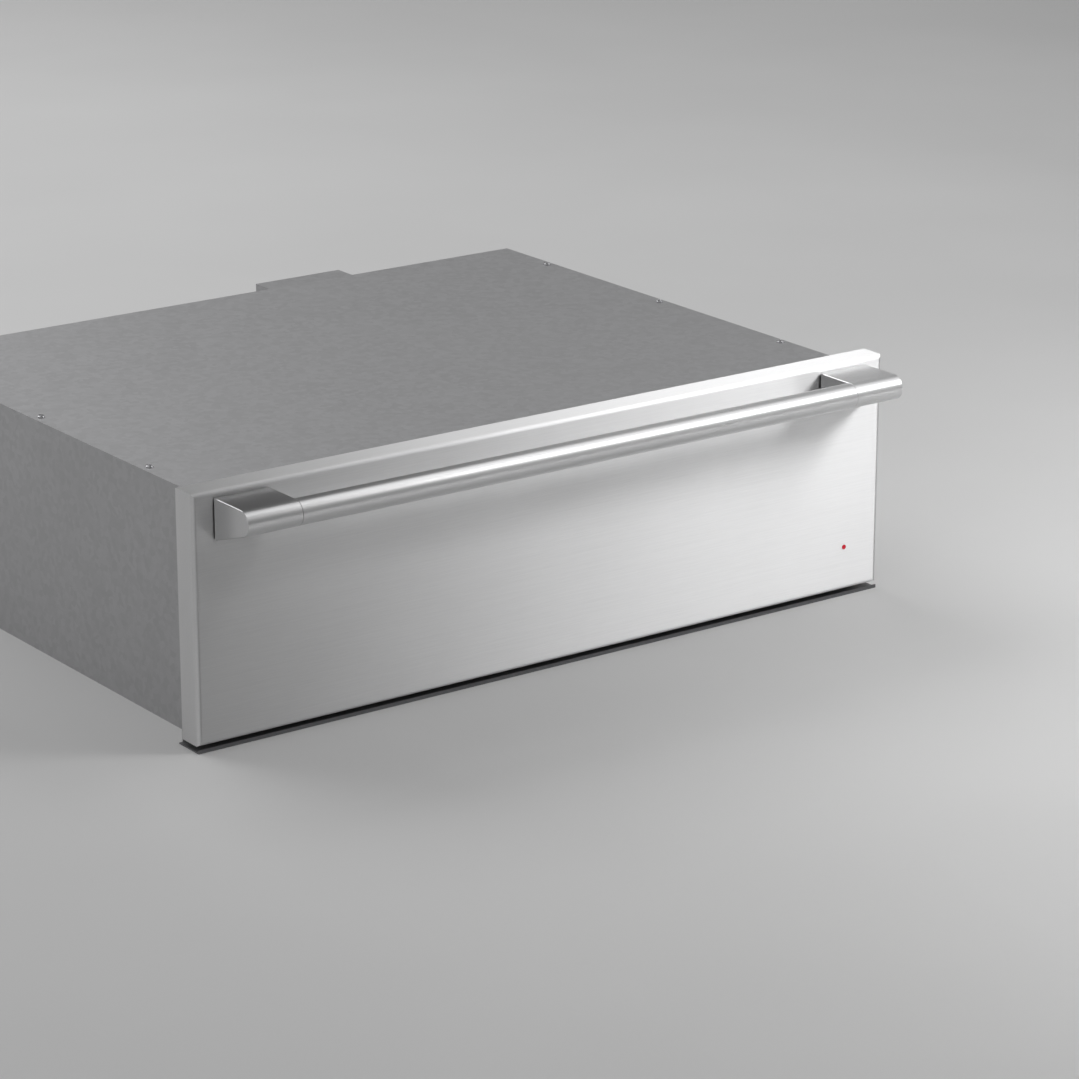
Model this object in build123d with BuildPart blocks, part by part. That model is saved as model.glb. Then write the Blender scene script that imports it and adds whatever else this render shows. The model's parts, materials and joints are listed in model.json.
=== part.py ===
"""Built-in warming drawer, 30-inch class, in millimetres.

+X is right, +Y is back and +Z is up, seen by a person who stands at its front.
The origin is the centre of the underside of the casing.  A fixed casing with a
heated cavity carries a full-width drawer on two telescopic slides.
"""

import os

from build123d import *

# ---------------------------------------------------------------- driving dimensions

# Drawer front: a folded sheet skin with a lining behind it
FRONT_WIDTH = 756.0
FRONT_HEIGHT = 225.0
FRONT_DEPTH = 26.0
SKIN = 1.2
SKIN_BEND = 4.0
LINING = 1.0
LINING_FLANGE = 12.0

# Fixed strip below the drawer front
TRIM_HEIGHT = 3.2
TRIM_GAP = 3.0
TRIM_SHEET = 1.2
TRIM_FLANGE = 7.0

# Tubular handle between two cast end blocks
HANDLE_DIAMETER = 23.5
HANDLE_WALL = 2.0
HANDLE_REACH = 55.0
HANDLE_DROP = 6.0
BLOCK_WIDTH = 54.5
BLOCK_MARGIN = 21.0
BLOCK_FOOT_HEIGHT = 37.0
BLOCK_FOOT = 2.0
BLOCK_EDGE = 0.5
SPIGOT_LENGTH = 14.0
PAD = 1.2
PAD_INSET = 2.0
HANDLE_BOLT = 6.0
HANDLE_BOLT_HEAD = 10.0
HANDLE_BOLT_HEAD_HEIGHT = 4.0
HANDLE_BOLT_DEPTH = 18.0
HANDLE_BOLT_SPACING = 28.0

# Indicator light: a bent light pipe in the drawer front, and the lamp that feeds it
LIGHT_DIAMETER = 4.4
LIGHT_FROM_RIGHT = 41.0
LIGHT_FROM_BOTTOM = 42.5
LIGHT_LEAD = 4.0
LIGHT_PROUD = 0.4
LAMP_FROM_OPENING = 5.0
LAMP_DIAMETER = 4.8
LAMP_HOLDER_DIAMETER = 7.6
LAMP_HOLDER_LENGTH = 9.0

# Casing behind the front
CASE_DEPTH = 545.0
CASE_BELOW_FRONT = 9.2
CASE_SHEET = 1.0
CASE_FLANGE = 14.0
VENT_OFFSET = 160.0
VENT_PITCH = 9.0
VENT_COUNT = 12
VENT_LENGTH = 16.0
VENT_WIDTH = 3.0

# Front frame with a bolting flange on each side
FRAME_INSET = 4.0
FRAME_LAP = 16.0
FRAME_SHEET = 1.5
FRAME_FLANGE = 12.0
FIXING_HOLE = 5.0
FIXING_EDGE = 6.0
FIXING_END = 51.0

# Heated cavity
CAVITY_WALL = 14.0
CAVITY_FLOOR = 17.0
HEAD_SPACE = 38.0
LINER = 0.8
BACK_SPACE = 15.0
TOP_INSULATION = 12.0
INSULATION_SETBACK = 14.0

# Gasket between the drawer front and the frame
SEAL_SPACE = 6.0
GASKET_WIDTH = 8.0
GASKET_BESIDE = 10.0
GASKET_ABOVE = 2.0
GASKET_BELOW = 0.5
GASKET_CORNER = 12.0

# Telescopic slides
SLIDE_END_SPACE = 46.2
SLIDE_HELD = 20.0
SLIDE_HEIGHT = 45.0
SLIDE_THICKNESS = 12.7
SLIDE_SHEET = 1.2
SLIDE_BEND = 0.8
SLIDE_LIP = 2.2
SLIDE_CLEARANCE = 0.3
SLIDE_STEP = 2.0
SLIDE_SETBACK = 2.0
BALL = 3.2
BALL_FIT = 0.05
BALL_PITCH = 30.0
BALLS_IN_ROW = 8
CAGE = 0.6
CAGE_END = 12.0

# Drawer pan
PAN_END_SPACE = 30.7
PAN_HEADROOM = 18.0
PAN_SHEET = 1.0
PAN_LEVEL = 44.0
PAN_FLANGE = 8.0
PAN_CORNER = 22.0
PAN_FOOT_BEND = 7.0
MAT = 2.5
MAT_MARGIN = 11.0
MAT_CORNER = 14.0

# Heating element, its clips and the shield over it, on the cavity floor
ELEMENT_DIAMETER = 6.5
ELEMENT_PITCH = 100.0
ELEMENT_BEND = 34.0
ELEMENT_SETBACK = 60.0
ELEMENT_RETURN = 90.0
ELEMENT_LEVEL = 8.0
ELEMENT_TAIL = 6.0
TERMINAL_PIN = 2.5
TERMINAL_PIN_LENGTH = 5.0
CLIP_WIDTH = 14.0
CLIP_DEPTH = 8.0
CLIP_ROOF = 2.0
SHIELD_BESIDE = 80.0
SHIELD_BEYOND = 30.9
SHIELD_LEVEL = 18.0
SHIELD_SHEET = 0.8
SHIELD_BEND = 2.0
SHIELD_FOOT = 10.0
SHIELD_SLOT_LENGTH = 36.0
SHIELD_SLOT_WIDTH = 6.0
SHIELD_SLOT_PITCH_X = 62.0
SHIELD_SLOT_PITCH_Y = 36.0
SHIELD_SLOTS = (7, 11)

# Temperature sensor and limit thermostat at the cavity back
INSTRUMENT_OFFSET = 100.0
SENSOR_DIAMETER = 6.0
SENSOR_LENGTH = 22.0
SENSOR_FLANGE = 18.0
SENSOR_FLANGE_THICKNESS = 1.5
SENSOR_LEAD = 4.0
THERMOSTAT_DIAMETER = 19.0
THERMOSTAT_HEIGHT = 7.0
THERMOSTAT_PLATE = (34.0, 12.0, 1.0)
THERMOSTAT_TAB = (6.3, 0.8, 4.0)

# Controls in the top rail of the frame
FASCIA_WIDTH = 330.0
FASCIA_HEIGHT = 20.0
FASCIA = 1.5
BUTTON_NAMES = ("button_power", "button_lower", "button_raise", "button_timer")
BUTTON_PITCH = 64.0
BUTTON_WIDTH = 18.0
BUTTON_HEIGHT = 9.0
BUTTON_CORNER = 2.0
BUTTON_EDGE = 0.5
BUTTON_PROUD = 1.4
BUTTON_TRAVEL = 1.0
BUTTON_GAP = 0.25
BUTTON_RIM = 2.0
BUTTON_RIM_THICKNESS = 1.2
BUTTON_STEM = 4.0
CONTROL_WIDTH = 320.0
CONTROL_DEPTH = 70.0
CONTROL_HEIGHT = 21.0
CONTROL_SHEET = 1.0
CONTROL_EAR = 12.0
CONTROL_RIM = 3.0
BOARD = 1.6
BOARD_SETBACK = 12.0
SWITCH_SIZE = 6.0
SWITCH_HEIGHT = 4.0
PLUNGER_DIAMETER = 3.5
PLUNGER_HEIGHT = 1.2
RELAY = (18.0, 24.0, 13.0)
CAPACITOR_DIAMETER = 12.0
CAPACITOR_LENGTH = 24.0

# Supply connection on the back of the casing
SUPPLY_OFFSET = 120.0
TERMINAL_WIDTH = 100.0
TERMINAL_HEIGHT = 54.0
TERMINAL_DEPTH = 36.0
TERMINAL_FROM_TOP = 3.0
TERMINAL_FLANGE = 12.0
GLAND_THREAD = 20.0
GLAND_THREAD_LENGTH = 10.0
GLAND_BORE = 11.0
GLAND_HEX = 24.0
GLAND_HEX_HEIGHT = 6.0
GLAND_CAP_HEIGHT = 12.0
GLAND_NUT_HEIGHT = 4.0
CONDUIT = 7.0
CONDUIT_ENTRY = 6.0

# Screws and clearances
SCREW = 3.8
SCREW_HEAD = 7.0
SCREW_HEAD_HEIGHT = 2.0
SCREW_LENGTH = 6.0
LID_SCREW_END = 82.5
RAIL_SCREW_SIDE = 158.0
BACK_SCREW_END = 46.0
PAN_SCREW_SIDE = 111.3
PAN_SCREW_EDGE = 26.0
PAN_SCREW_REACH = 4.0
SLIDE_SCREW_END = 60.0
SLIDE_SCREW_LENGTH = 3.2
POCKET = 6.0
FIT = 0.1
SOFT_GAP = 0.3

# ---------------------------------------------------------------- places worked out from them

FRONT_SIDE = FRONT_WIDTH / 2
FRONT_BOTTOM = TRIM_HEIGHT + TRIM_GAP
FRONT_TOP = FRONT_BOTTOM + FRONT_HEIGHT
FRAME_SIDE = FRONT_SIDE - FRAME_INSET

CASE_HEIGHT = FRONT_TOP - CASE_BELOW_FRONT
CASE_FRONT = -CASE_DEPTH / 2
CASE_BACK = CASE_DEPTH / 2
CASE_SIDE = FRAME_SIDE - FRAME_LAP
CASE_INSIDE = CASE_SIDE - CASE_SHEET
BACK_INSIDE = CASE_BACK - CASE_SHEET
LID_UNDERSIDE = CASE_HEIGHT - CASE_SHEET
FLANGE_LEVEL = LID_UNDERSIDE - CASE_SHEET
FLANGE_INSIDE = CASE_INSIDE - CASE_FLANGE
FLANGE_MIDDLE = CASE_INSIDE - CASE_FLANGE / 2

FRAME_FACE = CASE_FRONT - FRAME_SHEET
FRONT_BACK = FRAME_FACE - SEAL_SPACE
FRONT_FACE = FRONT_BACK - FRONT_DEPTH
SKIN_INSIDE = FRONT_FACE + SKIN
LINING_EDGE = SKIN + FIT
FILL_EDGE = LINING_EDGE + LINING + SOFT_GAP

CAVITY_SIDE = CASE_SIDE - CAVITY_WALL
CAVITY_TOP = CASE_HEIGHT - HEAD_SPACE
CAVITY_MIDDLE = (CAVITY_FLOOR + CAVITY_TOP) / 2
LINER_SIDE = CAVITY_SIDE + LINER
LINER_BACK = BACK_INSIDE - BACK_SPACE
CAVITY_BACK = LINER_BACK - LINER
INSULATION_FRONT = CASE_FRONT + INSULATION_SETBACK
INSULATION_TOP = CAVITY_TOP + LINER + TOP_INSULATION

HANDLE_RADIUS = HANDLE_DIAMETER / 2
HANDLE_Y = FRONT_FACE - HANDLE_REACH + HANDLE_RADIUS
BLOCK_TOP = FRONT_TOP - HANDLE_DROP
BLOCK_BOTTOM = BLOCK_TOP - BLOCK_FOOT_HEIGHT
HANDLE_Z = BLOCK_TOP - HANDLE_RADIUS
BLOCK_OUTSIDE = FRONT_SIDE - BLOCK_MARGIN
BLOCK_INSIDE = BLOCK_OUTSIDE - BLOCK_WIDTH
BLOCK_BACK = FRONT_FACE - PAD
BLOCK_X = (BLOCK_INSIDE + BLOCK_OUTSIDE) / 2
BLOCK_Z = (BLOCK_TOP + BLOCK_BOTTOM) / 2

LIGHT_X = FRONT_SIDE - LIGHT_FROM_RIGHT
LIGHT_Z = FRONT_BOTTOM + LIGHT_FROM_BOTTOM
LAMP_X = CAVITY_SIDE + LAMP_FROM_OPENING
FIXING_X = FRAME_SIDE - FIXING_EDGE
CASE_MIDDLE = CASE_HEIGHT / 2

SLIDE_FRONT = CASE_FRONT + SLIDE_SETBACK
SLIDE_LENGTH = CAVITY_BACK - SLIDE_END_SPACE - SLIDE_FRONT
SLIDE_TRAVEL = SLIDE_LENGTH - SLIDE_HELD
SLIDE_MIDDLE = SLIDE_FRONT + SLIDE_LENGTH / 2
OUTER_CAGE = SLIDE_SHEET + SLIDE_CLEARANCE
MIDDLE_WEB = OUTER_CAGE + CAGE + SLIDE_CLEARANCE
INNER_CAGE = MIDDLE_WEB + SLIDE_SHEET + SLIDE_CLEARANCE
INNER_EDGE = INNER_CAGE + CAGE + SLIDE_CLEARANCE
INNER_WEB = SLIDE_THICKNESS - SLIDE_SHEET
MIDDLE_EDGE = INNER_WEB - 3 * SLIDE_CLEARANCE
OUTER_EDGE = MIDDLE_EDGE - SLIDE_STEP
RACE = BALL + 2 * BALL_FIT
OUTER_HALF = SLIDE_HEIGHT / 2
MIDDLE_HALF = OUTER_HALF - SLIDE_SHEET - RACE
INNER_HALF = MIDDLE_HALF - SLIDE_SHEET - RACE

PAN_SIDE = CAVITY_SIDE - SLIDE_THICKNESS
PAN_BACK = CAVITY_BACK - PAN_END_SPACE
PAN_DEPTH = PAN_BACK - FRONT_BACK
PAN_MIDDLE = (FRONT_BACK + PAN_BACK) / 2
PAN_TOP = CAVITY_TOP - PAN_HEADROOM
PAN_HEIGHT = PAN_TOP - PAN_LEVEL
SLIDE_LEVEL = (PAN_TOP + PAN_LEVEL) / 2

ELEMENT_FRONT = CASE_FRONT + ELEMENT_SETBACK
ELEMENT_BACK = CAVITY_BACK - ELEMENT_RETURN
ELEMENT_MIDDLE = (ELEMENT_FRONT + ELEMENT_BACK) / 2
ELEMENT_RUN = ELEMENT_BACK - ELEMENT_FRONT
ELEMENT_Z = CAVITY_FLOOR + ELEMENT_LEVEL
ELEMENT_SIDE = 1.5 * ELEMENT_PITCH
ELEMENT_HOLE = ELEMENT_DIAMETER + 4 * FIT
CLIP_SPACING = ELEMENT_RUN / 2
SHIELD_SIDE = ELEMENT_SIDE + SHIELD_BESIDE
SHIELD_DEPTH = ELEMENT_RUN + 2 * SHIELD_BEYOND

FASCIA_FACE = FRAME_FACE - FASCIA
CONTROL_Z = (INSULATION_TOP + FLANGE_LEVEL) / 2
CONTROL_BACK = CASE_FRONT + CONTROL_DEPTH
BOARD_FACE = CASE_FRONT + BOARD_SETBACK
PLUNGER_TIP = BOARD_FACE - SWITCH_HEIGHT - PLUNGER_HEIGHT
BUTTON_X = [(i - (len(BUTTON_NAMES) - 1) / 2) * BUTTON_PITCH for i in range(len(BUTTON_NAMES))]

TERMINAL_TOP = CASE_HEIGHT - TERMINAL_FROM_TOP
TERMINAL_BOTTOM = TERMINAL_TOP - TERMINAL_HEIGHT
TERMINAL_Y = CASE_BACK + TERMINAL_DEPTH / 2

SCREW_HOLE = SCREW + 2 * FIT


# ---------------------------------------------------------------- helpers

def block(x, y, z, mode=Mode.ADD):
    """A box between two values on each axis, in the piece that is being built."""
    with Locations((min(x), min(y), min(z))):
        Box(
            max(x) - min(x),
            max(y) - min(y),
            max(z) - min(z),
            align=(Align.MIN, Align.MIN, Align.MIN),
            mode=mode,
        )


def rod(plane, diameter, length, mode=Mode.ADD):
    """A round bar that starts on a plane and runs along its normal."""
    with Locations(plane):
        Cylinder(diameter / 2, length, align=(Align.CENTER, Align.CENTER, Align.MIN), mode=mode)


def through(plane, diameter, depth):
    """A round hole from a plane, cut to both of its sides."""
    with Locations(plane):
        Cylinder(diameter / 2, 2 * depth, mode=Mode.SUBTRACT)


def facing_back(x, y, z):
    """A plane at a point, with its normal along +Y."""
    return Plane(origin=(x, y, z), x_dir=(-1, 0, 0), z_dir=(0, 1, 0))


def facing_front(x, y, z):
    """A plane at a point, with its normal along -Y."""
    return Plane(origin=(x, y, z), x_dir=(1, 0, 0), z_dir=(0, -1, 0))


def facing_up(x, y, z):
    """A plane at a point, with its normal along +Z."""
    return Plane(origin=(x, y, z), z_dir=(0, 0, 1))


def facing_left(x, y, z):
    """A plane at a point, with its normal along -X."""
    return Plane(origin=(x, y, z), x_dir=(0, -1, 0), z_dir=(-1, 0, 0))


def screw(seat, height=SCREW_HEAD_HEIGHT, head=SCREW_HEAD, shank=SCREW, length=SCREW_LENGTH):
    """A screw whose head rests on a plane and whose shank runs along its normal."""
    rod(seat, shank, length)
    rod(-seat, head, height)


def bent_sheet(points, sheet, bend):
    """The cross-section of a sheet folded along the line of points in its middle."""
    with BuildLine() as fold:
        FilletPolyline(*points, radius=bend)
    trace(fold.line, sheet)


def save(piece, name):
    """Label a finished piece and write it to its own file."""
    piece.part.label = name
    export_step(piece.part, f"parts/{name}.step")


def save_pair(right, name):
    """Write a right-hand piece and its mirror image on the left."""
    save(right, f"{name}_right")
    with BuildPart() as left:
        mirror(right.part, about=Plane.YZ)
    save(left, f"{name}_left")


os.makedirs("parts", exist_ok=True)

# ---------------------------------------------------------------- where screws and bolts go

LID_SCREWS = [
    facing_up(side * FLANGE_MIDDLE, row * (CASE_BACK - LID_SCREW_END), CASE_HEIGHT)
    for side in (-1, 1)
    for row in (-1, 0, 1)
]
RAIL_SCREWS = [
    facing_up(side * (CASE_SIDE - RAIL_SCREW_SIDE), CASE_FRONT + FRAME_FLANGE / 2, CASE_HEIGHT)
    for side in (-1, 1)
]
BACK_SCREWS = [
    facing_back(side * FLANGE_MIDDLE, CASE_BACK, CASE_MIDDLE + row * (CASE_MIDDLE - BACK_SCREW_END))
    for side in (-1, 1)
    for row in (-1, 1)
]
TERMINAL_SCREWS = [
    facing_back(
        SUPPLY_OFFSET + side * (TERMINAL_WIDTH + TERMINAL_FLANGE) / 2,
        CASE_BACK + CASE_SHEET,
        (TERMINAL_TOP + TERMINAL_BOTTOM) / 2,
    )
    for side in (-1, 1)
]
PAN_SCREWS = [
    facing_back(column * (PAN_SIDE - PAN_SCREW_SIDE), FRONT_BACK + PAN_SHEET, row)
    for column in (-1, 0, 1)
    for row in (PAN_LEVEL + PAN_SCREW_EDGE, PAN_TOP - PAN_SCREW_EDGE)
]
SLIDE_SCREW_Y = [
    SLIDE_MIDDLE + row * (SLIDE_LENGTH / 2 - SLIDE_SCREW_END) for row in (-1, 0, 1)
]
HANDLE_BOLTS = [
    facing_front(side * BLOCK_X + column * HANDLE_BOLT_SPACING / 2, SKIN_INSIDE, BLOCK_Z)
    for side in (-1, 1)
    for column in (-1, 1)
]
ELEMENT_ENDS = [(-ELEMENT_SIDE, LINER_BACK, ELEMENT_Z), (ELEMENT_SIDE, LINER_BACK, ELEMENT_Z)]

# ---------------------------------------------------------------- casing

# Base: a tray whose front, back and side edges are turned up
with BuildPart() as base_pan:
    block((-CASE_INSIDE, CASE_INSIDE), (CASE_FRONT, BACK_INSIDE), (0, CASE_SHEET))
    block((-CASE_INSIDE, CASE_INSIDE), (CASE_FRONT, CASE_FRONT + CASE_SHEET), (0, CASE_FLANGE))
    block(
        (-FLANGE_INSIDE + FIT, FLANGE_INSIDE - FIT),
        (BACK_INSIDE - CASE_SHEET, BACK_INSIDE),
        (0, CASE_FLANGE),
    )
    for side in (-1, 1):
        block(
            (side * CASE_INSIDE, side * (CASE_INSIDE - CASE_SHEET)),
            (CASE_FRONT, BACK_INSIDE - CASE_SHEET - FIT),
            (0, CASE_FLANGE),
        )
save(base_pan, "base_pan")

# Side: a sheet with a flange for the lid and a flange for the back
with BuildPart() as side_panel:
    block((CASE_INSIDE, CASE_SIDE), (CASE_FRONT, BACK_INSIDE), (0, LID_UNDERSIDE))
    block((FLANGE_INSIDE, CASE_INSIDE), (CASE_FRONT, BACK_INSIDE), (FLANGE_LEVEL, LID_UNDERSIDE))
    block(
        (FLANGE_INSIDE, CASE_INSIDE),
        (BACK_INSIDE - CASE_SHEET, BACK_INSIDE),
        (CASE_SHEET + FIT, LID_UNDERSIDE),
    )
    for seat in LID_SCREWS + BACK_SCREWS:
        through(seat, SCREW_HOLE, 2 * CASE_SHEET)
save_pair(side_panel, "side_panel")

# Back: a flat sheet with the conduit's hole and a row of vents above the insulation
with BuildPart() as back_panel:
    block((-CASE_SIDE, CASE_SIDE), (BACK_INSIDE, CASE_BACK), (0, LID_UNDERSIDE))
    for seat in BACK_SCREWS + TERMINAL_SCREWS:
        through(seat, SCREW_HOLE, 2 * CASE_SHEET)
    through(facing_back(SUPPLY_OFFSET, CASE_BACK, CONTROL_Z), CONDUIT + 2 * FIT, 2 * CASE_SHEET)
    with BuildSketch(facing_back(-VENT_OFFSET, CASE_BACK, CONTROL_Z)):
        with GridLocations(VENT_PITCH, VENT_PITCH, VENT_COUNT, 1):
            SlotOverall(VENT_LENGTH, VENT_WIDTH, rotation=90)
    extrude(amount=-2 * CASE_SHEET, mode=Mode.SUBTRACT)
save(back_panel, "back_panel")

# Lid
with BuildPart() as top_cover:
    block((-CASE_SIDE, CASE_SIDE), (CASE_FRONT, CASE_BACK), (LID_UNDERSIDE, CASE_HEIGHT))
    for seat in LID_SCREWS + RAIL_SCREWS:
        through(seat, SCREW_HOLE, CASE_SHEET)
save(top_cover, "top_cover")

# ---------------------------------------------------------------- front frame

# Each stile reaches past the casing, and is bolted to the cabinet there
for name, side in (("frame_stile_left", -1), ("frame_stile_right", 1)):
    with BuildPart() as stile:
        block(
            (side * CAVITY_SIDE, side * FRAME_SIDE),
            (FRAME_FACE, CASE_FRONT),
            (0, CASE_HEIGHT),
        )
        for z in (FIXING_END, CASE_HEIGHT - FIXING_END):
            through(facing_back(side * FIXING_X, FRAME_FACE, z), FIXING_HOLE, FRAME_SHEET)
        if side == 1:
            through(facing_back(LAMP_X, FRAME_FACE, LIGHT_Z), LAMP_DIAMETER + 2 * FIT, FRAME_SHEET)
    save(stile, name)

with BuildPart() as frame_bottom_rail:
    block((-CAVITY_SIDE, CAVITY_SIDE), (FRAME_FACE, CASE_FRONT), (0, CAVITY_FLOOR))
save(frame_bottom_rail, "frame_bottom_rail")

# The top rail has a window behind the control fascia and a flange under the lid
with BuildPart() as frame_top_rail:
    block((-CAVITY_SIDE, CAVITY_SIDE), (FRAME_FACE, CASE_FRONT), (CAVITY_TOP, CASE_HEIGHT))
    block(
        (-FLANGE_INSIDE + FIT, FLANGE_INSIDE - FIT),
        (CASE_FRONT, CASE_FRONT + FRAME_FLANGE),
        (FLANGE_LEVEL, LID_UNDERSIDE),
    )
    block(
        (-CONTROL_WIDTH / 2 + CONTROL_RIM, CONTROL_WIDTH / 2 - CONTROL_RIM),
        (FRAME_FACE, CASE_FRONT),
        (CONTROL_Z - CONTROL_HEIGHT / 2 + CONTROL_RIM, CONTROL_Z + CONTROL_HEIGHT / 2 - CONTROL_RIM),
        mode=Mode.SUBTRACT,
    )
    for seat in RAIL_SCREWS:
        through(seat, SCREW_HOLE, 2 * CASE_SHEET)
save(frame_top_rail, "frame_top_rail")

# Fixed strip below the drawer front, flush with it: a floor, a lip and a flange
with BuildPart() as lower_trim:
    block((-FRONT_SIDE, FRONT_SIDE), (FRONT_FACE, FRAME_FACE), (0, TRIM_SHEET))
    block((-FRONT_SIDE, FRONT_SIDE), (FRONT_FACE, FRONT_FACE + TRIM_SHEET), (0, TRIM_HEIGHT))
    block((-CAVITY_SIDE, CAVITY_SIDE), (FRAME_FACE - TRIM_SHEET, FRAME_FACE), (0, TRIM_FLANGE))
save(lower_trim, "lower_trim")

# ---------------------------------------------------------------- cavity liner

with BuildPart() as liner_floor:
    block(
        (-CAVITY_SIDE, CAVITY_SIDE),
        (CASE_FRONT, LINER_BACK),
        (CAVITY_FLOOR - LINER, CAVITY_FLOOR),
    )
save(liner_floor, "liner_floor")

with BuildPart() as liner_top:
    block((-LINER_SIDE, LINER_SIDE), (CASE_FRONT, LINER_BACK), (CAVITY_TOP, CAVITY_TOP + LINER))
save(liner_top, "liner_top")

# The back carries the element's ends, the sensor and the thermostat
with BuildPart() as liner_back:
    block((-CAVITY_SIDE, CAVITY_SIDE), (CAVITY_BACK, LINER_BACK), (CAVITY_FLOOR, CAVITY_TOP))
    for end in ELEMENT_ENDS:
        through(facing_back(*end), ELEMENT_HOLE, 2 * LINER)
    through(
        facing_back(-INSTRUMENT_OFFSET, LINER_BACK, CAVITY_MIDDLE),
        SENSOR_LEAD + 2 * FIT,
        2 * LINER,
    )
save(liner_back, "liner_back")

# Each side has a flange behind the frame; the right one clears the lamp
for name, side in (("liner_side_left", -1), ("liner_side_right", 1)):
    with BuildPart() as liner_side:
        block(
            (side * CAVITY_SIDE, side * LINER_SIDE),
            (CASE_FRONT, LINER_BACK),
            (CAVITY_FLOOR - LINER, CAVITY_TOP),
        )
        block(
            (side * LINER_SIDE, side * (CASE_INSIDE - CASE_SHEET - FIT)),
            (CASE_FRONT, CASE_FRONT + LINER),
            (CAVITY_FLOOR - LINER, CAVITY_TOP),
        )
        if side == 1:
            through(
                facing_back(LAMP_X, CASE_FRONT, LIGHT_Z),
                LAMP_HOLDER_DIAMETER + 2 * FIT,
                2 * LINER,
            )
    save(liner_side, name)

# ---------------------------------------------------------------- insulation

with BuildPart() as insulation_side:
    block(
        (LINER_SIDE + SOFT_GAP, CASE_INSIDE - SOFT_GAP),
        (INSULATION_FRONT, LINER_BACK),
        (CAVITY_FLOOR - LINER, INSULATION_TOP),
    )
save_pair(insulation_side, "insulation")

with BuildPart() as insulation_top:
    block(
        (-LINER_SIDE, LINER_SIDE),
        (INSULATION_FRONT, LINER_BACK),
        (CAVITY_TOP + LINER + SOFT_GAP, INSULATION_TOP),
    )
save(insulation_top, "insulation_top")

# The back slab leaves room for the element's ends and for the instruments
with BuildPart() as insulation_back:
    block(
        (-FLANGE_INSIDE + SOFT_GAP, FLANGE_INSIDE - SOFT_GAP),
        (LINER_BACK + SOFT_GAP, BACK_INSIDE - SOFT_GAP),
        (CASE_FLANGE + SOFT_GAP, INSULATION_TOP),
    )
    for end in ELEMENT_ENDS:
        through(facing_back(*end), ELEMENT_DIAMETER + 2 * POCKET, 2 * BACK_SPACE)
    for column in (-1, 1):
        through(
            facing_back(column * INSTRUMENT_OFFSET, LINER_BACK, CAVITY_MIDDLE),
            THERMOSTAT_PLATE[0] + POCKET,
            2 * BACK_SPACE,
        )
    for seat in TERMINAL_SCREWS:
        through(seat, SCREW + POCKET, 2 * BACK_SPACE)
save(insulation_back, "insulation_back")

# ---------------------------------------------------------------- heating element

# A sheathed tube: four runs from front to back, joined by round bends
with BuildPart() as heating_element:
    with BuildLine() as element_route:
        FilletPolyline(
            (-ELEMENT_SIDE, LINER_BACK + ELEMENT_TAIL, ELEMENT_Z),
            (-ELEMENT_SIDE, ELEMENT_FRONT, ELEMENT_Z),
            (-ELEMENT_SIDE + ELEMENT_PITCH, ELEMENT_FRONT, ELEMENT_Z),
            (-ELEMENT_SIDE + ELEMENT_PITCH, ELEMENT_BACK, ELEMENT_Z),
            (ELEMENT_SIDE - ELEMENT_PITCH, ELEMENT_BACK, ELEMENT_Z),
            (ELEMENT_SIDE - ELEMENT_PITCH, ELEMENT_FRONT, ELEMENT_Z),
            (ELEMENT_SIDE, ELEMENT_FRONT, ELEMENT_Z),
            (ELEMENT_SIDE, LINER_BACK + ELEMENT_TAIL, ELEMENT_Z),
            radius=ELEMENT_BEND,
        )
    with BuildSketch(facing_back(-ELEMENT_SIDE, LINER_BACK + ELEMENT_TAIL, ELEMENT_Z)):
        Circle(ELEMENT_DIAMETER / 2)
    sweep(path=element_route.line)
    for x, y, z in ELEMENT_ENDS:
        rod(facing_back(x, y + ELEMENT_TAIL, z), TERMINAL_PIN, TERMINAL_PIN_LENGTH)
save(heating_element, "heating_element")

# Saddles that hold the element's runs above the floor
with BuildPart() as element_clips:
    with BuildSketch(Plane.XY.offset(CAVITY_FLOOR)):
        with Locations((0, ELEMENT_MIDDLE)):
            with GridLocations(ELEMENT_PITCH, CLIP_SPACING, 4, 2):
                Rectangle(CLIP_WIDTH, CLIP_DEPTH)
    extrude(amount=ELEMENT_LEVEL + ELEMENT_DIAMETER / 2 + CLIP_ROOF)
    for column in (-1.5, -0.5, 0.5, 1.5):
        through(
            facing_back(column * ELEMENT_PITCH, ELEMENT_MIDDLE, ELEMENT_Z),
            ELEMENT_DIAMETER + 2 * FIT,
            CLIP_SPACING,
        )
save(element_clips, "element_clips")

# Slotted sheet that keeps the pan off the element
with BuildPart() as element_shield:
    with BuildSketch(facing_front(0, ELEMENT_MIDDLE + SHIELD_DEPTH / 2, CAVITY_FLOOR)):
        bent_sheet(
            [
                (-SHIELD_SIDE - SHIELD_FOOT, SHIELD_SHEET / 2),
                (-SHIELD_SIDE, SHIELD_SHEET / 2),
                (-SHIELD_SIDE, SHIELD_LEVEL),
                (SHIELD_SIDE, SHIELD_LEVEL),
                (SHIELD_SIDE, SHIELD_SHEET / 2),
                (SHIELD_SIDE + SHIELD_FOOT, SHIELD_SHEET / 2),
            ],
            SHIELD_SHEET,
            SHIELD_BEND,
        )
    extrude(amount=SHIELD_DEPTH)
    with BuildSketch(Plane.XY.offset(CAVITY_FLOOR + SHIELD_LEVEL + SHIELD_SHEET)):
        with Locations((0, ELEMENT_MIDDLE)):
            with GridLocations(SHIELD_SLOT_PITCH_X, SHIELD_SLOT_PITCH_Y, *SHIELD_SLOTS):
                SlotOverall(SHIELD_SLOT_LENGTH, SHIELD_SLOT_WIDTH)
    extrude(amount=-2 * SHIELD_SHEET, mode=Mode.SUBTRACT)
save(element_shield, "element_shield")

# ---------------------------------------------------------------- instruments

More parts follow.
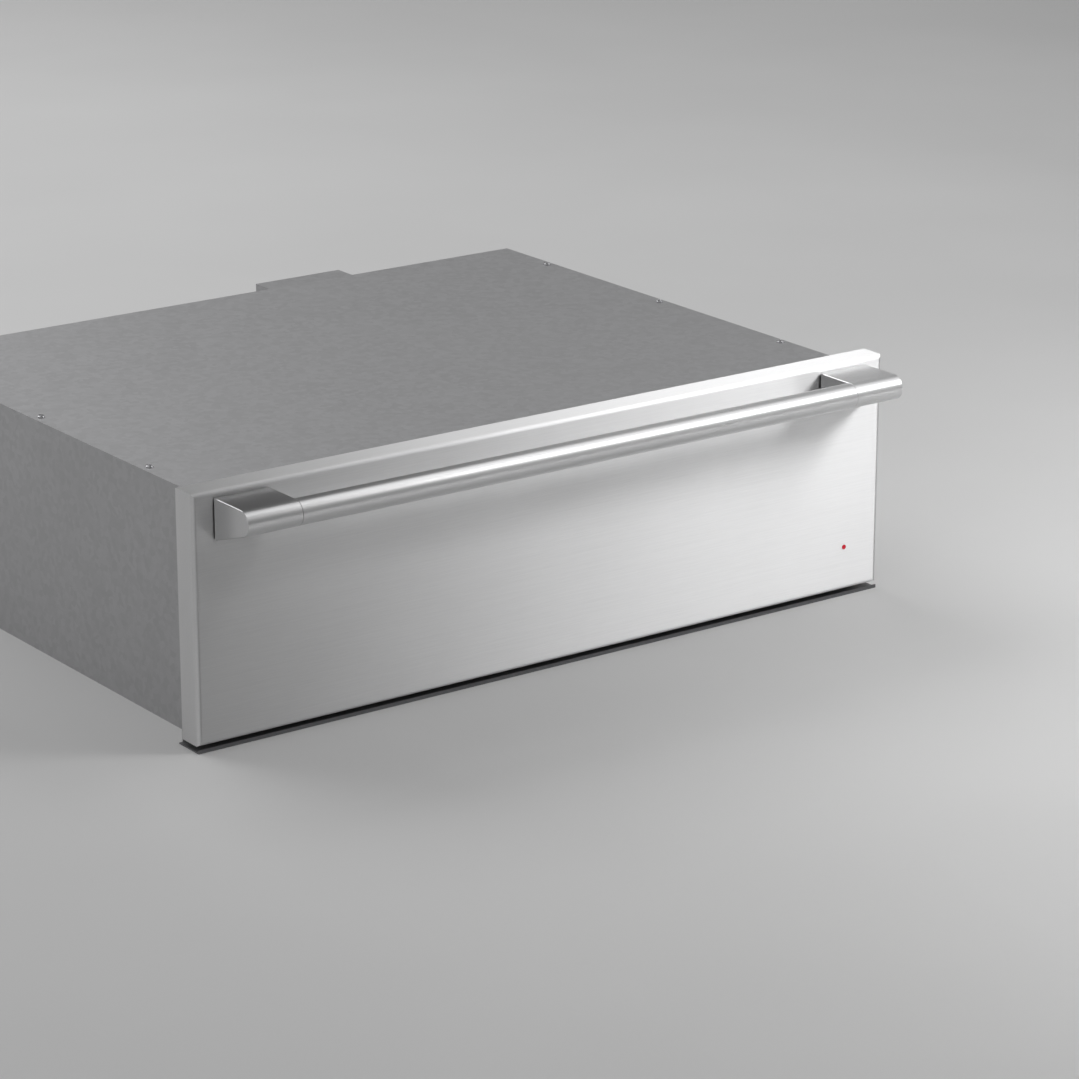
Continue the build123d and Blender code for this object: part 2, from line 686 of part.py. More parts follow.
# A probe that reaches into the cavity from a flange on its back wall
with BuildPart() as temperature_sensor:
    rod(
        facing_front(-INSTRUMENT_OFFSET, CAVITY_BACK, CAVITY_MIDDLE),
        SENSOR_FLANGE,
        SENSOR_FLANGE_THICKNESS,
    )
    rod(
        facing_front(-INSTRUMENT_OFFSET, CAVITY_BACK, CAVITY_MIDDLE),
        SENSOR_DIAMETER,
        SENSOR_LENGTH,
    )
    rod(
        facing_back(-INSTRUMENT_OFFSET, CAVITY_BACK, CAVITY_MIDDLE),
        SENSOR_LEAD,
        BACK_SPACE / 2,
    )
save(temperature_sensor, "temperature_sensor")

# A disc thermostat on a plate against the outside of the liner
with BuildPart() as limit_thermostat:
    with BuildSketch(facing_back(INSTRUMENT_OFFSET, LINER_BACK, CAVITY_MIDDLE)):
        SlotOverall(THERMOSTAT_PLATE[0], THERMOSTAT_PLATE[1])
    extrude(amount=THERMOSTAT_PLATE[2])
    rod(
        facing_back(INSTRUMENT_OFFSET, LINER_BACK, CAVITY_MIDDLE),
        THERMOSTAT_DIAMETER,
        THERMOSTAT_HEIGHT,
    )
    for column in (-1, 1):
        tab_x = INSTRUMENT_OFFSET + column * THERMOSTAT_DIAMETER / 4
        block(
            (tab_x - THERMOSTAT_TAB[0] / 2, tab_x + THERMOSTAT_TAB[0] / 2),
            (LINER_BACK + THERMOSTAT_HEIGHT, LINER_BACK + THERMOSTAT_HEIGHT + THERMOSTAT_TAB[2]),
            (CAVITY_MIDDLE - THERMOSTAT_TAB[1] / 2, CAVITY_MIDDLE + THERMOSTAT_TAB[1] / 2),
        )
save(limit_thermostat, "limit_thermostat")

# ---------------------------------------------------------------- controls

# Fascia plate over the window in the top rail
with BuildPart() as control_fascia:
    with BuildSketch(facing_front(0, FRAME_FACE, CONTROL_Z)):
        RectangleRounded(FASCIA_WIDTH, FASCIA_HEIGHT, BUTTON_CORNER)
        for x in BUTTON_X:
            with Locations((x, 0)):
                RectangleRounded(
                    BUTTON_WIDTH + 2 * BUTTON_GAP,
                    BUTTON_HEIGHT + 2 * BUTTON_GAP,
                    BUTTON_CORNER + BUTTON_GAP,
                    mode=Mode.SUBTRACT,
                )
    extrude(amount=FASCIA)
save(control_fascia, "control_fascia")

# Push buttons: a cap through the fascia, a rim behind it and a stem towards the switch
for name, x in zip(BUTTON_NAMES, BUTTON_X):
    with BuildPart() as button:
        with BuildSketch(facing_front(x, FRAME_FACE + BALL_FIT, CONTROL_Z)):
            RectangleRounded(BUTTON_WIDTH, BUTTON_HEIGHT, BUTTON_CORNER)
        extrude(amount=FASCIA + BALL_FIT + BUTTON_PROUD)
        fillet(button.faces().sort_by(Axis.Y)[0].edges(), BUTTON_EDGE)
        with BuildSketch(facing_back(x, FRAME_FACE + BALL_FIT, CONTROL_Z)):
            RectangleRounded(
                BUTTON_WIDTH + 2 * BUTTON_RIM,
                BUTTON_HEIGHT + 2 * BUTTON_RIM,
                BUTTON_CORNER,
            )
        extrude(amount=BUTTON_RIM_THICKNESS)
        block(
            (x - BUTTON_STEM / 2, x + BUTTON_STEM / 2),
            (FRAME_FACE + BUTTON_RIM_THICKNESS, PLUNGER_TIP - BUTTON_TRAVEL - BALL_FIT),
            (CONTROL_Z - BUTTON_STEM / 2, CONTROL_Z + BUTTON_STEM / 2),
        )
    save(button, name)

# Sheet box behind the rail, open to the front, with an ear at each end
with BuildPart() as control_box:
    block(
        (-CONTROL_WIDTH / 2, CONTROL_WIDTH / 2),
        (CASE_FRONT, CONTROL_BACK),
        (CONTROL_Z - CONTROL_HEIGHT / 2, CONTROL_Z + CONTROL_HEIGHT / 2),
    )
    offset(amount=-CONTROL_SHEET, openings=control_box.faces().sort_by(Axis.Y)[0], kind=Kind.INTERSECTION)
    for side in (-1, 1):
        block(
            (side * CONTROL_WIDTH / 2, side * (CONTROL_WIDTH / 2 + CONTROL_EAR)),
            (CASE_FRONT, CASE_FRONT + CONTROL_SHEET),
            (CONTROL_Z - CONTROL_HEIGHT / 2, CONTROL_Z + CONTROL_HEIGHT / 2),
        )
    through(
        facing_back(SUPPLY_OFFSET, CONTROL_BACK, CONTROL_Z), CONDUIT + 2 * FIT, 2 * CONTROL_SHEET
    )
save(control_box, "control_box")

# Circuit board: a switch behind each button, relays and capacitors on the far side
with BuildPart() as control_board:
    block(
        (-CONTROL_WIDTH / 2 + CONTROL_SHEET + FIT, CONTROL_WIDTH / 2 - CONTROL_SHEET - FIT),
        (BOARD_FACE, BOARD_FACE + BOARD),
        (
            CONTROL_Z - CONTROL_HEIGHT / 2 + CONTROL_SHEET + FIT,
            CONTROL_Z + CONTROL_HEIGHT / 2 - CONTROL_SHEET - FIT,
        ),
    )
    for x in BUTTON_X:
        block(
            (x - SWITCH_SIZE / 2, x + SWITCH_SIZE / 2),
            (BOARD_FACE - SWITCH_HEIGHT, BOARD_FACE),
            (CONTROL_Z - SWITCH_SIZE / 2, CONTROL_Z + SWITCH_SIZE / 2),
        )
        rod(
            facing_front(x, BOARD_FACE - SWITCH_HEIGHT, CONTROL_Z),
            PLUNGER_DIAMETER,
            PLUNGER_HEIGHT,
        )
    for x in (BUTTON_X[0], BUTTON_X[1]):
        block(
            (x - RELAY[0] / 2, x + RELAY[0] / 2),
            (BOARD_FACE + BOARD, BOARD_FACE + BOARD + RELAY[1]),
            (CONTROL_Z - RELAY[2] / 2, CONTROL_Z + RELAY[2] / 2),
        )
    rod(
        facing_back(BUTTON_X[2], BOARD_FACE + BOARD, CONTROL_Z),
        CAPACITOR_DIAMETER,
        CAPACITOR_LENGTH,
    )
save(control_board, "control_board")

# ---------------------------------------------------------------- indicator light

# A two-bend light pipe carries the lamp's light past the edge of the opening
with BuildPart() as light_pipe:
    with BuildLine() as light_route:
        light_front = Line(
            (LIGHT_X, FRONT_FACE - LIGHT_PROUD, LIGHT_Z),
            (LIGHT_X, FRONT_FACE + LIGHT_LEAD, LIGHT_Z),
        )
        light_bend = TangentArc(
            light_front @ 1,
            ((LIGHT_X + LAMP_X) / 2, (FRONT_FACE + FRONT_BACK) / 2, LIGHT_Z),
            tangent=light_front % 1,
        )
        light_return = TangentArc(
            light_bend @ 1,
            (LAMP_X, FRONT_BACK - LIGHT_LEAD, LIGHT_Z),
            tangent=light_bend % 1,
        )
        Line(light_return @ 1, (LAMP_X, FRONT_BACK, LIGHT_Z))
    with BuildSketch(facing_back(LIGHT_X, FRONT_FACE - LIGHT_PROUD, LIGHT_Z)):
        Circle(LIGHT_DIAMETER / 2)
    sweep(path=light_route.line)
save(light_pipe, "light_pipe")

# The lamp looks through the right stile, in a holder behind it
with BuildPart() as indicator_lamp:
    rod(facing_back(LAMP_X, FRAME_FACE, LIGHT_Z), LAMP_DIAMETER, FRAME_SHEET)
    rod(facing_back(LAMP_X, CASE_FRONT, LIGHT_Z), LAMP_HOLDER_DIAMETER, LAMP_HOLDER_LENGTH)
save(indicator_lamp, "indicator_lamp")

# ---------------------------------------------------------------- supply connection

# Cover on the casing's back, open towards it, with an ear on each side
with BuildPart() as terminal_box:
    block(
        (SUPPLY_OFFSET - TERMINAL_WIDTH / 2, SUPPLY_OFFSET + TERMINAL_WIDTH / 2),
        (CASE_BACK, CASE_BACK + TERMINAL_DEPTH),
        (TERMINAL_BOTTOM, TERMINAL_TOP),
    )
    offset(amount=-CASE_SHEET, openings=terminal_box.faces().sort_by(Axis.Y)[0], kind=Kind.INTERSECTION)
    for side in (-1, 1):
        block(
            (
                SUPPLY_OFFSET + side * TERMINAL_WIDTH / 2,
                SUPPLY_OFFSET + side * (TERMINAL_WIDTH / 2 + TERMINAL_FLANGE),
            ),
            (CASE_BACK, CASE_BACK + CASE_SHEET),
            (TERMINAL_BOTTOM, TERMINAL_TOP),
        )
    for seat in TERMINAL_SCREWS:
        through(seat, SCREW_HOLE, 2 * CASE_SHEET)
    through(
        facing_up(SUPPLY_OFFSET, TERMINAL_Y, TERMINAL_BOTTOM), GLAND_THREAD + 2 * FIT, 2 * CASE_SHEET
    )
save(terminal_box, "terminal_box")

# Cord gland in the cover's floor: thread, locknut, hexagon and cap round one bore
with BuildPart() as cable_gland:
    gland_seat = facing_up(SUPPLY_OFFSET, TERMINAL_Y, TERMINAL_BOTTOM)
    rod(gland_seat, GLAND_THREAD, GLAND_THREAD_LENGTH)
    with BuildSketch(gland_seat.offset(CASE_SHEET)):
        RegularPolygon(GLAND_HEX / 2, 6, major_radius=False)
    extrude(amount=GLAND_NUT_HEIGHT)
    with BuildSketch(-gland_seat):
        RegularPolygon(GLAND_HEX / 2, 6, major_radius=False)
    extrude(amount=GLAND_HEX_HEIGHT)
    rod(-gland_seat, GLAND_THREAD, GLAND_HEX_HEIGHT + GLAND_CAP_HEIGHT)
    fillet(cable_gland.faces().sort_by(Axis.Z)[0].edges(), BUTTON_CORNER)
    through(gland_seat, GLAND_BORE, 2 * TERMINAL_HEIGHT)
save(cable_gland, "cable_gland")

# Conduit for the leads between the control box and the supply connection
with BuildPart() as wiring_conduit:
    conduit_start = facing_back(SUPPLY_OFFSET, CONTROL_BACK - CONDUIT_ENTRY, CONTROL_Z)
    rod(conduit_start, CONDUIT, CASE_BACK - CONTROL_BACK + 2 * CONDUIT_ENTRY)
save(wiring_conduit, "wiring_conduit")

# ---------------------------------------------------------------- slides

def slide_point(across, up):
    """A point of the right slide's section: distance from the liner, height from its middle."""
    return (CAVITY_SIDE - across, SLIDE_LEVEL + up)


def channel(web, edge, half_height, sheet):
    """Middle line of a C-section whose web lies at one distance and whose flanges end at another."""
    direction = 1 if edge > web else -1
    web_middle = web + direction * sheet / 2
    flange = half_height - sheet / 2
    return [
        slide_point(edge, flange),
        slide_point(web_middle, flange),
        slide_point(web_middle, -flange),
        slide_point(edge, -flange),
    ]


# Outer member: a C-section with lips, fixed to the liner's side
with BuildPart() as slide_outer:
    lip = OUTER_EDGE - SLIDE_SHEET / 2
    lip_end = OUTER_HALF - SLIDE_SHEET / 2 - SLIDE_LIP
    outer_line = channel(0, lip, OUTER_HALF, SLIDE_SHEET)
    with BuildSketch(facing_front(0, SLIDE_FRONT, 0)):
        bent_sheet(
            [slide_point(lip, lip_end)] + outer_line + [slide_point(lip, -lip_end)],
            SLIDE_SHEET,
            SLIDE_BEND,
        )
    extrude(amount=-SLIDE_LENGTH)
save_pair(slide_outer, "slide_outer")

with BuildPart() as slide_middle:
    with BuildSketch(facing_front(0, SLIDE_FRONT, 0)):
        bent_sheet(
            channel(MIDDLE_WEB, MIDDLE_EDGE, MIDDLE_HALF, SLIDE_SHEET), SLIDE_SHEET, SLIDE_BEND
        )
    extrude(amount=-SLIDE_LENGTH)
save_pair(slide_middle, "slide_middle")

# Inner member: screwed to the side of the pan
with BuildPart() as slide_inner:
    with BuildSketch(facing_front(0, SLIDE_FRONT, 0)):
        bent_sheet(
            channel(SLIDE_THICKNESS, INNER_EDGE, INNER_HALF, SLIDE_SHEET), SLIDE_SHEET, SLIDE_BEND
        )
    extrude(amount=-SLIDE_LENGTH)
    for y in SLIDE_SCREW_Y:
        through(facing_left(PAN_SIDE, y, SLIDE_LEVEL), SCREW_HOLE, 2 * SLIDE_SHEET)
save_pair(slide_inner, "slide_inner")

# Ball cages: a strip with a row of balls in each flange.  At rest they stand where both
# members still hold every ball when the drawer is fully open
CAGE_LENGTH = (BALLS_IN_ROW - 1) * BALL_PITCH + 2 * CAGE_END
CAGE_FRONT = SLIDE_FRONT + SLIDE_TRAVEL / 4 + (SLIDE_LENGTH - SLIDE_TRAVEL / 2 - CAGE_LENGTH) / 2

for name, strip, edge, half_height in (
    ("ball_cage_outer", OUTER_CAGE, OUTER_EDGE - SLIDE_SHEET - SLIDE_CLEARANCE, OUTER_HALF),
    ("ball_cage_inner", INNER_CAGE, MIDDLE_EDGE - SLIDE_CLEARANCE, MIDDLE_HALF),
):
    ball_up = half_height - SLIDE_SHEET - RACE / 2
    ball_across = (strip + CAGE + edge) / 2
    with BuildPart() as ball_cage:
        with BuildSketch(facing_front(0, CAGE_FRONT, 0)):
            bent_sheet(channel(strip, edge, ball_up + CAGE / 2, CAGE), CAGE, CAGE)
        extrude(amount=-CAGE_LENGTH)
        for up in (-ball_up, ball_up):
            ball_x, ball_z = slide_point(ball_across, up)
            for i in range(BALLS_IN_ROW):
                ball_y = CAGE_FRONT + CAGE_END + i * BALL_PITCH
                through(facing_up(ball_x, ball_y, ball_z), BALL + 2 * FIT, BALL / 2)
                with Locations((ball_x, ball_y, ball_z)):
                    Sphere(BALL / 2)
    save_pair(ball_cage, name)

# ---------------------------------------------------------------- drawer front

# Skin: a tray folded from one sheet, open at the back
def front_block(inset, back):
    """The front's block, shrunk by an inset, with its folds rounded about the same axes."""
    with BuildPart() as body:
        block(
            (-FRONT_SIDE + inset, FRONT_SIDE - inset),
            (FRONT_FACE + inset, back),
            (FRONT_BOTTOM + inset, FRONT_TOP - inset),
        )
        face_edges = body.faces().sort_by(Axis.Y)[0].edges()
        fillet(face_edges, SKIN_BEND - inset)
    return body.part


with BuildPart() as front_skin:
    add(front_block(0, FRONT_BACK))
    add(front_block(SKIN, FRONT_BACK + SKIN), mode=Mode.SUBTRACT)
    for seat in HANDLE_BOLTS:
        through(seat, HANDLE_BOLT + 2 * FIT, 2 * SKIN)
    through(facing_back(LIGHT_X, FRONT_FACE, LIGHT_Z), LIGHT_DIAMETER + 2 * FIT, 2 * SKIN)
save(front_skin, "front_skin")

# Lining: a shallow tray inside the skin, with its back towards the cavity
with BuildPart() as front_lining:
    block(
        (-FRONT_SIDE + LINING_EDGE, FRONT_SIDE - LINING_EDGE),
        (FRONT_BACK - LINING_FLANGE, FRONT_BACK),
        (FRONT_BOTTOM + LINING_EDGE, FRONT_TOP - LINING_EDGE),
    )
    offset(
        amount=-LINING,
        openings=front_lining.faces().sort_by(Axis.Y)[0],
        kind=Kind.INTERSECTION,
    )
    for seat in PAN_SCREWS:
        through(seat, SCREW_HOLE, 3 * LINING)
    through(facing_back(LAMP_X, FRONT_BACK, LIGHT_Z), LIGHT_DIAMETER + 2 * FIT, 2 * LINING)
save(front_lining, "front_lining")

# Insulation slab between them, with pockets for the bolts, the screws and the light pipe
with BuildPart() as front_insulation:
    block(
        (-FRONT_SIDE + FILL_EDGE, FRONT_SIDE - FILL_EDGE),
        (SKIN_INSIDE + SOFT_GAP, FRONT_BACK - LINING - SOFT_GAP),
        (FRONT_BOTTOM + FILL_EDGE, FRONT_TOP - FILL_EDGE),
    )
    chamfer(front_insulation.faces().sort_by(Axis.Y)[0].edges(), SKIN_BEND)
    for seat in HANDLE_BOLTS:
        through(seat, HANDLE_BOLT_HEAD + POCKET, 2 * FRONT_DEPTH)
    for seat in PAN_SCREWS:
        through(seat, SCREW + POCKET, 2 * FRONT_DEPTH)
    block(
        (min(LIGHT_X, LAMP_X) - POCKET, max(LIGHT_X, LAMP_X) + POCKET),
        (FRONT_FACE, FRONT_BACK),
        (LIGHT_Z - POCKET, LIGHT_Z + POCKET),
        mode=Mode.SUBTRACT,
    )
save(front_insulation, "front_insulation")

# Gasket: a ring on the lining, just clear of the frame
with BuildPart() as front_gasket:
    gasket_width = 2 * (CAVITY_SIDE + GASKET_BESIDE + GASKET_WIDTH)
    gasket_top = CAVITY_TOP + GASKET_ABOVE + GASKET_WIDTH
    gasket_foot = CAVITY_FLOOR - GASKET_BELOW - GASKET_WIDTH
    gasket_height = gasket_top - gasket_foot
    with BuildSketch(facing_back(0, FRONT_BACK, (gasket_top + gasket_foot) / 2)):
        RectangleRounded(gasket_width, gasket_height, GASKET_CORNER)
        RectangleRounded(
            gasket_width - 2 * GASKET_WIDTH,
            gasket_height - 2 * GASKET_WIDTH,
            GASKET_CORNER - GASKET_WIDTH,
            mode=Mode.SUBTRACT,
        )
    extrude(amount=SEAL_SPACE - SOFT_GAP)
save(front_gasket, "front_gasket")

# ---------------------------------------------------------------- handle

# End block: the hull of the bar's circle and an upright foot, with a spigot for the bar
with BuildPart() as handle_block:
    with BuildSketch(Plane.YZ.offset(BLOCK_INSIDE)):
        with Locations((HANDLE_Y, HANDLE_Z)):
            Circle(HANDLE_RADIUS)
        with Locations((BLOCK_BACK - BLOCK_FOOT / 2, BLOCK_Z)):
            Rectangle(BLOCK_FOOT, BLOCK_FOOT_HEIGHT)
        make_hull()
    extrude(amount=BLOCK_WIDTH)
    chamfer(handle_block.faces().sort_by(Axis.X)[0].edges(), BLOCK_EDGE)
    chamfer(handle_block.faces().sort_by(Axis.X)[-1].edges(), BLOCK_EDGE)
    rod(
        facing_left(BLOCK_INSIDE, HANDLE_Y, HANDLE_Z),
        HANDLE_DIAMETER - 2 * HANDLE_WALL - FIT,
        SPIGOT_LENGTH,
    )
    for seat in HANDLE_BOLTS:
        through(seat, HANDLE_BOLT + 2 * FIT, SKIN + PAD + HANDLE_BOLT_DEPTH + FIT)
save_pair(handle_block, "handle_block")

with BuildPart() as handle_pad:
    block(
        (BLOCK_INSIDE + PAD_INSET, BLOCK_OUTSIDE - PAD_INSET),
        (BLOCK_BACK, FRONT_FACE),
        (BLOCK_BOTTOM + PAD_INSET, BLOCK_TOP - PAD_INSET),
    )
    for seat in HANDLE_BOLTS:
        through(seat, HANDLE_BOLT + 2 * FIT, SKIN + 2 * PAD)
save_pair(handle_pad, "handle_pad")

with BuildPart() as handle_bar:
    with BuildSketch(Plane.YZ.offset(-BLOCK_INSIDE)):
        with Locations((HANDLE_Y, HANDLE_Z)):
            Circle(HANDLE_RADIUS)
            Circle(HANDLE_RADIUS - HANDLE_WALL, mode=Mode.SUBTRACT)
    extrude(amount=2 * BLOCK_INSIDE)
save(handle_bar, "handle_bar")

# Bolts from inside the skin, through the pads and into the blocks
with BuildPart() as handle_bolts:
    for seat in HANDLE_BOLTS:
        screw(
            seat,
            height=HANDLE_BOLT_HEAD_HEIGHT,
            head=HANDLE_BOLT_HEAD,
            shank=HANDLE_BOLT,
            length=SKIN + PAD + HANDLE_BOLT_DEPTH,
        )
save(handle_bolts, "handle_bolts")

# ---------------------------------------------------------------- drawer pan

# A pressed tub with a flange round its sides and back
with BuildPart() as drawer_pan:
    with BuildSketch(Plane.XY.offset(PAN_LEVEL)):
        with Locations((0, PAN_MIDDLE)):
            RectangleRounded(2 * PAN_SIDE, PAN_DEPTH, PAN_CORNER)
    extrude(amount=PAN_HEIGHT)
    fillet(drawer_pan.faces().sort_by(Axis.Z)[0].edges(), PAN_FOOT_BEND)
    offset(amount=-PAN_SHEET, openings=drawer_pan.faces().sort_by(Axis.Z)[-1])
    with BuildSketch(Plane.XY.offset(PAN_TOP)):
        with Locations((0, PAN_MIDDLE + PAN_FLANGE / 2)):
            Rectangle(2 * (PAN_SIDE + PAN_FLANGE), PAN_DEPTH + PAN_FLANGE)
        with Locations((0, PAN_MIDDLE)):
            RectangleRounded(
                2 * (PAN_SIDE - PAN_SHEET),
                PAN_DEPTH - 2 * PAN_SHEET,
                PAN_CORNER - PAN_SHEET,
                mode=Mode.SUBTRACT,
            )
    extrude(amount=-PAN_SHEET)
    fillet(
        drawer_pan.edges().filter_by(Axis.Z).group_by(Axis.Y)[-1],
        PAN_CORNER + PAN_FLANGE,
    )
    for seat in PAN_SCREWS:
        through(seat, SCREW_HOLE, 3 * PAN_SHEET)
    for side in (-1, 1):
        for y in SLIDE_SCREW_Y:
            through(facing_left(side * PAN_SIDE, y, SLIDE_LEVEL), SCREW_HOLE, 2 * PAN_SHEET)
save(drawer_pan, "drawer_pan")

with BuildPart() as pan_mat:
    with BuildSketch(Plane.XY.offset(PAN_LEVEL + PAN_SHEET)):
        with Locations((0, PAN_MIDDLE)):
            RectangleRounded(
                2 * (PAN_SIDE - MAT_MARGIN), PAN_DEPTH - 2 * MAT_MARGIN, MAT_CORNER
            )
    extrude(amount=MAT)
save(pan_mat, "pan_mat")

# ---------------------------------------------------------------- screws

# Screws of the casing: lid, top rail, back and supply cover
with BuildPart() as casing_screws:
    for seat in LID_SCREWS + RAIL_SCREWS + BACK_SCREWS + TERMINAL_SCREWS:
        screw(-seat)
save(casing_screws, "casing_screws")

# Screws of the pan: six into the lining, and three into each slide
with BuildPart() as pan_screws:
    for seat in PAN_SCREWS:
        screw(-seat, length=PAN_SHEET + LINING + PAN_SCREW_REACH)
    for side in (-1, 1):
        for y in SLIDE_SCREW_Y:
            inward = facing_left(PAN_SIDE + SLIDE_SHEET, y, SLIDE_LEVEL)
            seat = inward if side == 1 else -facing_left(-PAN_SIDE - SLIDE_SHEET, y, SLIDE_LEVEL)
            screw(seat, length=SLIDE_SCREW_LENGTH)
save(pan_screws, "pan_screws")
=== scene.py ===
"""Built-in warming drawer: looks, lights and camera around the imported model.  Metres."""

import json
import math

import bmesh
import bpy
from mathutils import Matrix, Vector, noise


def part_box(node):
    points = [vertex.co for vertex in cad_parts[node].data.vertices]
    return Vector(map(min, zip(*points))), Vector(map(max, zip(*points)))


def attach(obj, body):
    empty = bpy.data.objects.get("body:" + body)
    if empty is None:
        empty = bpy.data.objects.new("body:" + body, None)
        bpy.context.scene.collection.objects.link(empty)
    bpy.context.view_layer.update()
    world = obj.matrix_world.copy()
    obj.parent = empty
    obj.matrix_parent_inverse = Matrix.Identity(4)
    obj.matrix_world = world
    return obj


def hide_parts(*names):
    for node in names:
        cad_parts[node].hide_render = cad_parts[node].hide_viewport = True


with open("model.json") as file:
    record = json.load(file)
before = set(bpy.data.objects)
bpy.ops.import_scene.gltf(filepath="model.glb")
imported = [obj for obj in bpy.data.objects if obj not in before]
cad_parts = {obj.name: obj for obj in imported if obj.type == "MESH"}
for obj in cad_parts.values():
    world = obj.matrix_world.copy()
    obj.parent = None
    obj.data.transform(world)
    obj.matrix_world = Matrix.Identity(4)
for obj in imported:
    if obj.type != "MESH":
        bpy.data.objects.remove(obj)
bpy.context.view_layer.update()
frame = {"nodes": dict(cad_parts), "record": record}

NODES = frame["nodes"]
BODY_OF = {
    node: body for body, nodes in frame["record"]["behaviour"]["bodies"].items() for node in nodes
}
MM = 0.001

# ---------------------------------------------------------------- camera

VIEW_TURN = math.radians(-35.98)
VIEW_RISE = math.radians(17.98)
VIEW_DISTANCE = 3.5068
VIEW_TARGET = Vector((-0.01967, -0.306, 0.1241))
LENS = 131.2
CLIP_RANGE = (0.05, 100.0)

back = Vector(
    (
        math.sin(VIEW_TURN) * math.cos(VIEW_RISE),
        -math.cos(VIEW_TURN) * math.cos(VIEW_RISE),
        math.sin(VIEW_RISE),
    )
)
camera_data = bpy.data.cameras.new("camera")
camera_data.lens = LENS
camera_data.clip_start, camera_data.clip_end = CLIP_RANGE
camera = bpy.data.objects.new("camera", camera_data)
camera.location = VIEW_TARGET + back * VIEW_DISTANCE
camera.rotation_mode = "QUATERNION"
camera.rotation_quaternion = (-back).to_track_quat("-Z", "Y")
bpy.context.collection.objects.link(camera)
bpy.context.scene.camera = camera
bpy.context.scene.view_settings.view_transform = "Standard"


# ---------------------------------------------------------------- shader helpers

# Sockets of a colour Mix node, which share their names with those of its other kinds.
MIX_FACTOR, MIX_FIRST, MIX_SECOND, MIX_RESULT = 0, 6, 7, 2
# A quarter turn lays the spread of highlights across the brushing.
GRAIN_TURN = 0.25


class Shader:
    """A material round one Principled shader, with short calls for the nodes that feed it."""

    def __init__(self, name, **sockets):
        self.material = bpy.data.materials.new(name)
        self.material.use_nodes = True
        tree = self.material.node_tree
        self.nodes, self.links = tree.nodes, tree.links
        self.bsdf = self.nodes["Principled BSDF"]
        for socket, value in sockets.items():
            self.bsdf.inputs[socket.replace("_", " ")].default_value = value
        self.normal = None
        place = self.nodes.new("ShaderNodeTexCoord")
        self.place = place.outputs["Object"]

    def node(self, kind, inputs=(), **settings):
        made = self.nodes.new(kind)
        for key, value in settings.items():
            setattr(made, key, value)
        for key, value in dict(inputs).items():
            if isinstance(value, bpy.types.NodeSocket):
                self.links.new(value, made.inputs[key])
            else:
                made.inputs[key].default_value = value
        return made

    def stretched(self, scale):
        """The object's coordinates, scaled on each axis."""
        return self.node("ShaderNodeMapping", {"Vector": self.place, "Scale": scale}).outputs[0]

    def noise(self, scale, detail=2.0, rough=0.5, stretch=(1, 1, 1)):
        """Noise with features of about one over scale, in metres."""
        made = self.node(
            "ShaderNodeTexNoise",
            {
                "Vector": self.stretched(stretch),
                "Scale": scale,
                "Detail": detail,
                "Roughness": rough,
            },
        )
        return made.outputs["Fac"]

    def cells(self, scale, output="Color"):
        """Voronoi cells of about one over scale, in metres."""
        vector = self.stretched((1, 1, 1))
        made = self.node("ShaderNodeTexVoronoi", {"Vector": vector, "Scale": scale})
        return made.outputs[output]

    def spread(self, fac, low, high, start=0.3, end=0.7):
        """Maps a factor between two values to a number from low to high."""
        made = self.node(
            "ShaderNodeMapRange",
            {"Value": fac, "From Min": start, "From Max": end, "To Min": low, "To Max": high},
        )
        return made.outputs["Result"]

    def mixed(self, fac, first, second, blend="MIX"):
        """A colour between two, each a colour or a socket."""
        made = self.nodes.new("ShaderNodeMix")
        made.data_type = "RGBA"
        made.blend_type = blend
        for number, value in ((MIX_FACTOR, fac), (MIX_FIRST, first), (MIX_SECOND, second)):
            if isinstance(value, bpy.types.NodeSocket):
                self.links.new(value, made.inputs[number])
            else:
                made.inputs[number].default_value = value
        return made.outputs[MIX_RESULT]

    def math(self, operation, first, second):
        """One Math node's result."""
        return self.node("ShaderNodeMath", {0: first, 1: second}, operation=operation).outputs[0]

    def colour(self, socket):
        self.links.new(socket, self.bsdf.inputs["Base Color"])

    def rough(self, socket):
        self.links.new(socket, self.bsdf.inputs["Roughness"])

    def bump(self, height, depth):
        """Adds relief of a depth in metres to the surface."""
        made = self.node("ShaderNodeBump", {"Height": height, "Distance": depth, "Strength": 1.0})
        if self.normal:
            self.links.new(self.normal, made.inputs["Normal"])
        self.normal = made.outputs["Normal"]
        self.links.new(self.normal, self.bsdf.inputs["Normal"])

    def grain(self, along, amount):
        """Brushing along an axis, which spreads highlights across it."""
        made = self.node("ShaderNodeCombineXYZ", dict(zip(("X", "Y", "Z"), along)))
        self.links.new(made.outputs[0], self.bsdf.inputs["Tangent"])
        self.bsdf.inputs["Anisotropic"].default_value = amount
        self.bsdf.inputs["Anisotropic Rotation"].default_value = GRAIN_TURN


def tone(r, g, b):
    """A colour with full alpha."""
    return (r, g, b, 1.0)


def grey(value, blue=0.0):
    """A grey, with a little more blue if asked."""
    return (value, value, value + blue, 1.0)


def times(colour, factor):
    """A colour of three parts made lighter or darker, with full alpha."""
    return tuple(min(1.0, value * factor) for value in colour) + (1.0,)


# How far coordinates shrink along brushed lines and drawn scratches, which draws them out.
BRUSH_STRETCH = 0.012
DRAWN_STRETCH = 0.02
# Crystals of zinc per metre, and how far their edges bend, in metres.
SPANGLE_SCALE = 170.0
SPANGLE_WARP = 0.006
# Speckles of enamel per metre.
SPECKLE_SCALE = 420.0


